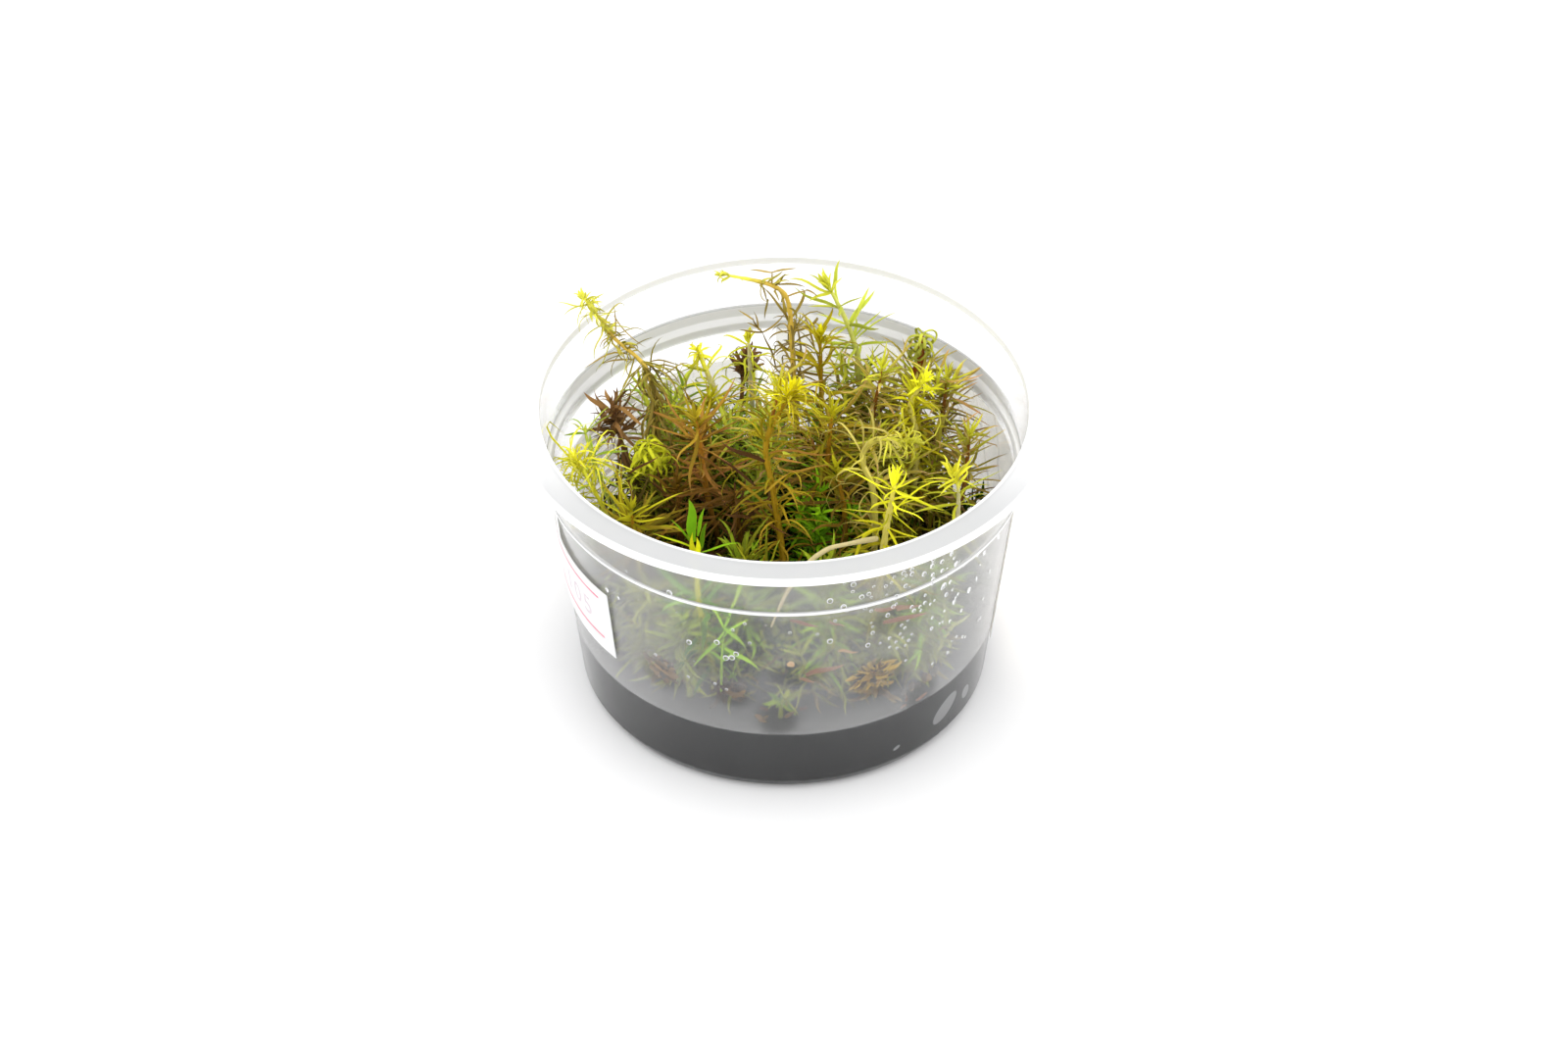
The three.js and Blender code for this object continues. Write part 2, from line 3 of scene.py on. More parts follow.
import bmesh
import bpy
import numpy as np
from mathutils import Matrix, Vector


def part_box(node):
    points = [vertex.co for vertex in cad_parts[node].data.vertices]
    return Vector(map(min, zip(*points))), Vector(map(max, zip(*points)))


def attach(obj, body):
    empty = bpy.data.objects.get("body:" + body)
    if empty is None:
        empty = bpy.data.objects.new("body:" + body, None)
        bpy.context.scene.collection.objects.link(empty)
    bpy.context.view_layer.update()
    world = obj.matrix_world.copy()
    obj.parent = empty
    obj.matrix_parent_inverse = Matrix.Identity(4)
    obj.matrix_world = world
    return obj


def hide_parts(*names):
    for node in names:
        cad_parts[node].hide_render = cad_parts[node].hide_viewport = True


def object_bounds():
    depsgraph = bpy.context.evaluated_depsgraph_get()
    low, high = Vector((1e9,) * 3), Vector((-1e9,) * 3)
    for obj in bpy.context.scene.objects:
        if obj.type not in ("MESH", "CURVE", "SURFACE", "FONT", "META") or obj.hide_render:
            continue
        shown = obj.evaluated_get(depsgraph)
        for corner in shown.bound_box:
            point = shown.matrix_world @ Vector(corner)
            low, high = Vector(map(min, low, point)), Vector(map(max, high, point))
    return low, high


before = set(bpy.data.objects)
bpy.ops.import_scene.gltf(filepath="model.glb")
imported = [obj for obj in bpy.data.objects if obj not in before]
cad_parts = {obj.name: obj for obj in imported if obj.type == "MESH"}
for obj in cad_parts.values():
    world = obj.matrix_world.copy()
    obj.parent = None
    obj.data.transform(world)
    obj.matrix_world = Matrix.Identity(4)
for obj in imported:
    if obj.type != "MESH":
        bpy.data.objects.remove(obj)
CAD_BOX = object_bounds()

bl_info = {
    "name": "Whorly rotala culture cup",
    "version": (1, 0, 0),
    "blender": (4, 5, 0),
    "location": "View3D > Sidebar > Culture cup",
    "description": "Grows fine leaves on the shoots of a culture cup and gives each piece its finish",
    "category": "Object",
}

# Everything below is worked out in millimetres and scaled once, when a mesh is written.
MM = 0.001
SEED = 20817

# The cup, whose rim and height come from the frame
SKIN_ROOM = 0.01
FLANGE_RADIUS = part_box("cup")[1].x / MM - SKIN_ROOM
FLANGE_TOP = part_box("cup")[1].z / MM
WALL = 0.75
FLOOR_TOP = WALL + 0.1
BASE_RADIUS = 36.4
FOOT_EASE = 1.8
FOOT_EASE_HEIGHT = 0.8
INNER_EASE = 1.2
INNER_RISE = 0.3
FOOT_RADIUS = 39.2
FOOT_HEIGHT = 2.6
LEDGE_RADIUS = 44.1
LEDGE_HEIGHT = 48.1
BAND_RADIUS = 45.3
BAND_HEIGHT = 48.9
MOUTH_RADIUS = 45.6
UNDER_FLANGE = FLANGE_TOP - 1
SKIRT_FOOT = FLANGE_TOP - 1.3
BLOOM_ROOM = 0.04
CUP_TURNS = 144
EDGE_STEPS = 3
EDGE_ANGLE = 12
SKIN_SMOOTH = 50
SHEET_SMOOTH = 40

# The gel, which reaches a little into the wall so that no air shows between them
GEL_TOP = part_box("gel")[1].z / MM
GEL_OVERLAP = 0.02
MENISCUS = 0.9

# Leaves and stems
LEAF_STEPS = 7
LEAF_SIDES = 4
COIL_STEPS = 16
COIL_SIDES = 3
SPRIG_STEPS = 4
SPRIG_SIDES = 3
SPRIG_LEAVES = 6
STEM_SIDES = 7
STEM_STEPS = 56
LEAF_SMOOTH = 62
WALL_CLEARANCE = 0.35
GEL_CLEARANCE = 0.3
TOP_CLEARANCE = 0.5
ABOVE_FLANGE = 0.4
OVERHANG_ROOM = 1
FULL_TURN = 2 * math.pi
GOLDEN_ANGLE = math.radians(137.5)


def outer_radius(z):
    """The cup's outer radius at a height, for a number or an array."""
    lower = FOOT_RADIUS + (LEDGE_RADIUS - FOOT_RADIUS) * (z - FOOT_HEIGHT) / (LEDGE_HEIGHT - FOOT_HEIGHT)
    rise = np.clip((z - BAND_HEIGHT) / (FLANGE_TOP - BAND_HEIGHT), 0, 1)
    upper = BAND_RADIUS + (MOUTH_RADIUS + WALL - BAND_RADIUS) * rise
    return np.where(z < LEDGE_HEIGHT, lower, upper)


# Meshes

def deselect():
    if bpy.context.mode != "OBJECT":
        bpy.ops.object.mode_set(mode="OBJECT")
    bpy.ops.object.select_all(action="DESELECT")


def only(obj):
    deselect()
    obj.select_set(True)
    bpy.context.view_layer.objects.active = obj
    return obj


def finish_piece(obj, name, material, slot, *nodes):
    """Names a piece, gives it its finish and lets it stand for its nodes of the frame."""
    obj.name = name
    obj.data.name = name
    obj.data.materials.clear()
    obj.data.materials.append(material)
    if nodes:
        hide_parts(*nodes)
    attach(obj, "root")
    return obj


def faces_out(obj):
    """Points every face of a closed piece outward."""
    only(obj)
    bpy.ops.object.mode_set(mode="EDIT")
    bpy.ops.mesh.select_all(action="SELECT")
    bpy.ops.mesh.normals_make_consistent(inside=False)
    bpy.ops.object.mode_set(mode="OBJECT")
    return obj


def smoothed(obj, degrees):
    """Smooths a piece, but for its edges sharper than an angle."""
    only(obj)
    bpy.ops.object.shade_smooth_by_angle(angle=math.radians(degrees))
    return obj


def new_object(corners, faces):
    """An object with the corners, in millimetres, and the faces."""
    mesh = bpy.data.meshes.new("piece")
    mesh.from_pydata((corners * MM).tolist(), [], faces)
    mesh.update()
    obj = bpy.data.objects.new("piece", mesh)
    bpy.context.scene.collection.objects.link(obj)
    return obj


def taken(obj):
    """The corners and faces of a modelled object, which is then removed."""
    corners = np.array([v.co for v in obj.data.vertices], float)
    faces = [tuple(p.vertices) for p in obj.data.polygons]
    bpy.data.objects.remove(obj)
    return corners, faces


def extruded_rod(sides, steps):
    """A closed rod one unit to a step along Z that ends in a point, extruded from a ring."""
    deselect()
    bpy.ops.mesh.primitive_circle_add(vertices=sides, radius=1, fill_type="NGON", location=(0, 0, 0))
    rod = bpy.context.object
    bpy.ops.object.mode_set(mode="EDIT")
    bpy.ops.mesh.select_all(action="SELECT")
    for _ in range(steps):
        bpy.ops.mesh.extrude_region_move(TRANSFORM_OT_translate={"value": (0, 0, 1)})
    bpy.ops.mesh.merge(type="CENTER")
    bpy.ops.object.mode_set(mode="OBJECT")
    return faces_out(rod)


class Template:
    """The corners and faces of a modelled rod, to be laid along many lines."""

    def __init__(self, sides, steps):
        corners, self.faces = taken(extruded_rod(sides, steps))
        self.across = corners[:, 0]
        self.depth = corners[:, 1]
        self.station = np.round(corners[:, 2]).astype(int)
        self.steps = steps

    def laid(self, lines, sides, normals, widths, depths):
        """Corners of the rod along each line: arrays of line × station × 3, and line × station."""
        s = self.station
        across = self.across[None, :, None] * widths[:, s, None]
        depth = self.depth[None, :, None] * depths[:, s, None]
        return lines[:, s] + sides[:, s] * across + normals[:, s] * depth

    def along(self, line, widths, aside):
        """Corners of a round rod along one line, whose seam keeps square to the aside vector."""
        ahead = unit(np.gradient(line, axis=1))
        sides = unit(np.cross(ahead, np.broadcast_to(np.array(aside), line.shape)))
        return self.laid(line, sides, np.cross(sides, ahead), widths, widths)


class Growth:
    """Gathers the corners, faces and leaf measures of one piece."""

    MEASURES = ("age", "along", "ridge", "chance", "stem")

    def __init__(self):
        self.corners = []
        self.faces = []
        self.measures = {name: [] for name in self.MEASURES}
        self.count = 0

    def add(self, template, corners, **measures):
        lines, each = corners.shape[:2]
        for line in range(lines):
            start = self.count + line * each
            self.faces.extend([tuple(start + i for i in face) for face in template.faces])
        self.corners.append(corners.reshape(-1, 3))
        for name in self.MEASURES:
            value = np.broadcast_to(measures.get(name, 0.0), (lines, each))
            self.measures[name].append(value.reshape(-1))
        self.count += lines * each

    def piece(self):
        """What was gathered, as one smooth object that carries the measures."""
        obj = new_object(np.concatenate(self.corners), self.faces)
        for measure, values in self.measures.items():
            layer = obj.data.attributes.new(measure, "FLOAT", "POINT")
            layer.data.foreach_set("value", np.concatenate(values).astype(np.float32))
        return smoothed(obj, LEAF_SMOOTH)


def unit(vectors):
    return vectors / np.maximum(np.linalg.norm(vectors, axis=-1, keepdims=True), 1e-9)


def turned(vectors, axes, angles):
    """Each vector turned about its axis by its angle, in radians."""
    c = np.cos(angles)[..., None]
    s = np.sin(angles)[..., None]
    along = np.sum(vectors * axes, axis=-1, keepdims=True)
    return vectors * c + np.cross(axes, vectors) * s + axes * along * (1 - c)


def kept_inside(points):
    """Moves points off the wall, out of the gel and under the frame's top."""
    result = points.copy()
    z = np.clip(result[..., 2], GEL_TOP + GEL_CLEARANCE, CAD_BOX[1].z / MM - TOP_CLEARANCE)
    result[..., 2] = z
    inside = outer_radius(z) - WALL - WALL_CLEARANCE
    limit = np.where(z < FLANGE_TOP + ABOVE_FLANGE, inside, FLANGE_RADIUS - OVERHANG_ROOM)
    reach = np.hypot(result[..., 0], result[..., 1])
    share = np.minimum(1, limit / np.maximum(reach, 1e-6))
    result[..., 0] *= share
    result[..., 1] *= share
    return result


def level_of(point):
    """The level direction from the cup's axis to a point."""
    return unit(np.array([point[0], point[1], 0]))


def on_wall(azimuth, z):
    """A point against the inside of the wall."""
    angle = math.radians(azimuth)
    radius = float(outer_radius(z)) - WALL - WALL_CLEARANCE
    return np.array([radius * math.cos(angle), radius * math.sin(angle), z])


# Reading a shoot of the frame

def welded(node):
    """Corners in millimetres and triangles of a node, whose loose triangles are merged first."""
    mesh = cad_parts[node].data
    corners = np.array([v.co for v in mesh.vertices], float) / MM
    keys, index = np.unique(np.round(corners * 1000).astype(int), axis=0, return_inverse=True)
    index = index.reshape(-1)
    points = np.zeros((len(keys), 3))
    points[index] = corners
    return points, [[int(index[i]) for i in p.vertices] for p in mesh.polygons]


class Shoot:
    """The stem line of a shoot and its leaves, as the frame has them.

    A leaf's point has four neighbours: on a blade they are its waist, and on a needle the
    corners of the stem's side. What is left is a tube of rings that ends in a bud."""

    FOOT_BAND = 1.0
    NEEDLE_EDGE = 2.4

    def __init__(self, node):
        points, triangles = welded(node)
        near = [set() for _ in points]
        for a, b, c in triangles:
            near[a] |= {b, c}
            near[b] |= {a, c}
            near[c] |= {a, b}
        lowest = points[:, 2].min()
        first = {i for i, p in enumerate(points) if p[2] < lowest + self.FOOT_BAND}
        tips, gone = self.leaf_tips(points, near, first)
        rings = self.rings_above(first, near, gone)
        self.centres = np.array([points[ring].mean(axis=0) for ring in rings])
        self.radii = np.array([
            np.linalg.norm(points[ring] - points[ring].mean(axis=0), axis=1).mean() for ring in rings
        ])
        where = {i: k for k, ring in enumerate(rings) for i in ring}
        self.leaves = []
        for tip, feet in tips.items():
            known = [where[j] for j in feet if j in where]
            if known and max(known) > 0:
                self.leaves.append((min(known), points[sorted(feet)].mean(axis=0), points[tip]))
        steps = np.linalg.norm(np.diff(self.centres, axis=0), axis=1)
        self.at = np.concatenate([[0], np.cumsum(steps)])
        self.length = self.at[-1]
        self.slopes = np.gradient(self.centres, self.at, axis=0)

    def leaf_tips(self, points, near, first):
        """Each leaf's point with the corners at its foot, and every corner that is only a leaf's."""
        tips = {}
        gone = set()
        for i, around in enumerate(near):
            if len(around) == 4 and i not in first and all(len(near[j]) == 5 for j in around):
                tips[i] = set().union(*(near[j] for j in around)) - around - {i}
                gone |= {i} | around
        for i, around in enumerate(near):
            if len(around) != 4 or i in first or i in gone:
                continue
            edges = [np.linalg.norm(points[i] - points[j]) for j in around]
            if np.mean(edges) > self.NEEDLE_EDGE:
                tips[i] = around
                gone.add(i)
        return tips, gone

    @staticmethod
    def rings_above(first, near, gone):
        """The stem's rings of corners, from the foot up."""
        rings = [sorted(first)]
        seen = first | gone
        while True:
            ring = {j for i in rings[-1] for j in near[i]} - seen
            if not ring:
                return rings
            rings.append(sorted(ring))
            seen |= ring

    def point(self, distance):
        """Points of a smooth cubic line through the ring centres."""
        distance = np.clip(np.atleast_1d(distance), 0, self.length)
        i = np.clip(np.searchsorted(self.at, distance, side="right") - 1, 0, len(self.at) - 2)
        span = np.maximum(self.at[i + 1] - self.at[i], 1e-9)
        t = ((distance - self.at[i]) / span)[:, None]
        p0, p1 = self.centres[i], self.centres[i + 1]
        m0, m1 = self.slopes[i] * span[:, None], self.slopes[i + 1] * span[:, None]
        return (
            (2 * t**3 - 3 * t**2 + 1) * p0 + (t**3 - 2 * t**2 + t) * m0
            + (-2 * t**3 + 3 * t**2) * p1 + (t**3 - t**2) * m1
        )

    def heading(self, distance):
        nudge = 0.2
        return unit(self.point(np.asarray(distance) + nudge) - self.point(np.asarray(distance) - nudge))

    def radius(self, distance):
        return np.interp(distance, self.at, self.radii)


# Leaves

LEAF_FIELDS = ("base", "tip", "up", "bend", "late", "roll", "width", "age", "length")


class Leaves:
    """The settings of many leaves, which are then laid out together."""

    WOBBLE = 0.035
    LEAST_CHORD = 0.45

    def __init__(self, random, template):
        self.random = random
        self.template = template
        self.rows = []

    def add(self, base, tip, up, bend, width, age, late=1.4, roll=0.0, length=0.0):
        self.rows.append((base, tip, up, bend, late, roll, width, age, length))

    def lines(self):
        """Each leaf bends in one plane, more and more towards its tip, and ends at its tip point.
        A leaf with a length of its own only sets out that way and coils freely."""
        row = {name: np.array(values, float) for name, values in zip(LEAF_FIELDS, zip(*self.rows))}
        steps = self.template.steps
        t = np.linspace(0, 1, steps + 1)
        heading = np.radians(row["bend"])[:, None] * t[None, :] ** row["late"][:, None]
        mid = (heading[:, 1:] + heading[:, :-1]) / 2
        zero = np.zeros((len(mid), 1))
        x = np.concatenate([zero, np.cumsum(np.cos(mid), axis=1)], axis=1) / steps
        y = np.concatenate([zero, np.cumsum(np.sin(mid), axis=1)], axis=1) / steps
        span = row["tip"] - row["base"]
        reach = np.linalg.norm(span, axis=1)
        ahead = unit(span)
        chord = np.maximum(np.hypot(x[:, -1], y[:, -1]), self.LEAST_CHORD)
        lean = np.arctan2(y[:, -1], x[:, -1])
        free = row["length"] > 0
        lean = np.where(free, 0, lean)
        scale = np.where(free, row["length"], reach / chord)
        c, s = np.cos(-lean)[:, None], np.sin(-lean)[:, None]
        along = (x * c - y * s) * scale[:, None]
        aside = (x * s + y * c) * scale[:, None]
        up = row["up"] - ahead * np.sum(row["up"] * ahead, axis=1, keepdims=True)
        down = turned(-unit(up), ahead, np.radians(row["roll"]))
        lines = row["base"][:, None] + ahead[:, None] * along[..., None] + down[:, None] * aside[..., None]
        side = np.cross(ahead, down)
        wobble = self.random.normal(0, self.WOBBLE, (len(lines), 2))
        sway = wobble[:, :1] * np.sin(math.pi * t) + wobble[:, 1:] * np.sin(2 * math.pi * t)
        lines = lines + side[:, None] * (sway * scale[:, None])[..., None]
        return lines, side, row

    def grow(self, growth, shape, depth_share):
        """Lays the leaves, whose width runs along them as the shape says."""
        if not self.rows:
            return
        template = self.template
        lines, side, row = self.lines()
        lines = kept_inside(lines)
        ahead = unit(np.gradient(lines, axis=1))
        sides = np.broadcast_to(side[:, None], lines.shape)
        sides = unit(sides - ahead * np.sum(sides * ahead, axis=-1, keepdims=True))
        normals = np.cross(sides, ahead)
        places = np.linspace(0, 1, template.steps + 1)
        profile = np.interp(places, np.linspace(0, 1, len(shape)), shape)
        widths = row["width"][:, None] * profile[None, :]
        corners = template.laid(lines, sides, normals, widths, widths * depth_share)
        station = template.station / template.steps
        growth.add(
            template, corners,
            age=row["age"][:, None],
            along=station[None, :],
            ridge=1 - np.abs(template.across)[None, :],
            chance=self.random.random((len(lines), 1)),
        )

    def piece(self, shape, depth_share):
        """These leaves alone, as one object."""
        growth = Growth()
        self.grow(growth, shape, depth_share)
        return growth.piece()


def whorl_side(heading, angle):
    """A direction square to a stem, at an angle round it."""
    aside = np.array([1.0, 0, 0]) if abs(heading[0]) < 0.9 else np.array([0, 1.0, 0])
    first = unit(np.cross(heading, aside))
    second = np.cross(heading, first)
    return first * math.cos(angle) + second * math.sin(angle)


# How each kind of shoot looks. Width is half a leaf's width and curl its bend in degrees.
# Extra is the leaves between those of the frame, between the whorls between theirs, low the
# whorls below theirs, lacking the share of leaves left out, and pitch a leaf's angle above
# level at the foot and at the bud. Reach is how much of the length of the frame's leaves is
# kept, tuft the young leaves round the bud, and young how far the bright part comes down.
PLAIN = dict(extra=3, between=1, lacking=0.2, low=3, skip=0, reach=1, blade=False, stem_age=None,
             tuft=9, tuft_pitch=(12, 74), tuft_curl=None, own=(), bunches=(), fray=None,
             coil=0, coil_width=0, coil_bend=(260, 430), coil_length=(8, 12))
STYLES = {
    "wiry": dict(width=0.19, curl=(-30, 160), extra=2, lacking=0.4, tuft=8, tuft_length=2.4, tuft_width=0.3,
                 young=9, pitch=(-45, 15), length=(6, 11), stem=0.62, low=2),
    "yellow": dict(width=0.24, curl=(5, 130), tuft_length=3.8, tuft_width=0.36, young=7, pitch=(-20, 25),
                   length=(8, 12), stem=0.72),
    "olive": dict(width=0.33, curl=(-20, 50), tuft_length=4.2, tuft_width=0.34, young=5, pitch=(-15, 25),
                  length=(8.5, 13.5), stem=0.8),
    "red": dict(width=0.35, curl=(-15, 35), tuft_length=4.2, tuft_width=0.34, young=4, pitch=(-15, 28),
                length=(8.5, 14), stem=0.85),
    "back": dict(width=0.32, curl=(-15, 45), extra=5, lacking=0.1, tuft=8, tuft_length=5, tuft_width=0.36,
                 young=4, pitch=(-10, 40), length=(8, 13), stem=0.7, low=6),
    "green": dict(width=0.55, curl=(5, 45), extra=2, between=0, tuft=4, tuft_length=4.2, tuft_width=0.5,
                  young=6, pitch=(15, 50), length=(7, 11), stem=0.8, low=4, blade=True),
    "airy": dict(width=0.42, curl=(0, 50), extra=1, between=0, tuft=5, tuft_length=5, tuft_width=0.45,
                 young=8, pitch=(0, 45), length=(7, 11), stem=0.75),
    "shady": dict(width=0.46, curl=(5, 60), extra=4, lacking=0.1, tuft=4, tuft_length=4, tuft_width=0.4,
                  young=0.5, pitch=(0, 45), length=(6, 11), stem=0.75, low=4),
    "fresh": dict(width=0.46, curl=(5, 60), extra=4, lacking=0.1, tuft=6, tuft_length=4.5, tuft_width=0.45,
                  young=5, pitch=(0, 45), length=(6, 11), stem=0.75, low=4, blade=True),
    "dead": dict(width=0.4, curl=(-130, 150), extra=6, between=3, lacking=0.3, tuft_length=4.5,
                 tuft_width=0.4, young=1, pitch=(-10, 70), length=(4, 7.5), stem=0.6, low=0, blade=True),
    "frayed": dict(width=0.5, curl=(-90, 120), extra=7, between=3, lacking=0.1, tuft=12, tuft_length=4,
                   tuft_width=0.5, young=1, pitch=(-20, 60), length=(3.5, 7), stem=0.8, low=0),
}
# Kinds that grow as another does and differ from it only in colour
KIN = {"pale": "yellow", "lime": "yellow", "starry": "yellow", "limp": "yellow", "brown": "frayed",
       "sooty": "frayed", "lush": "fresh", "dull": "fresh", "umber": "red", "spent": "back"}

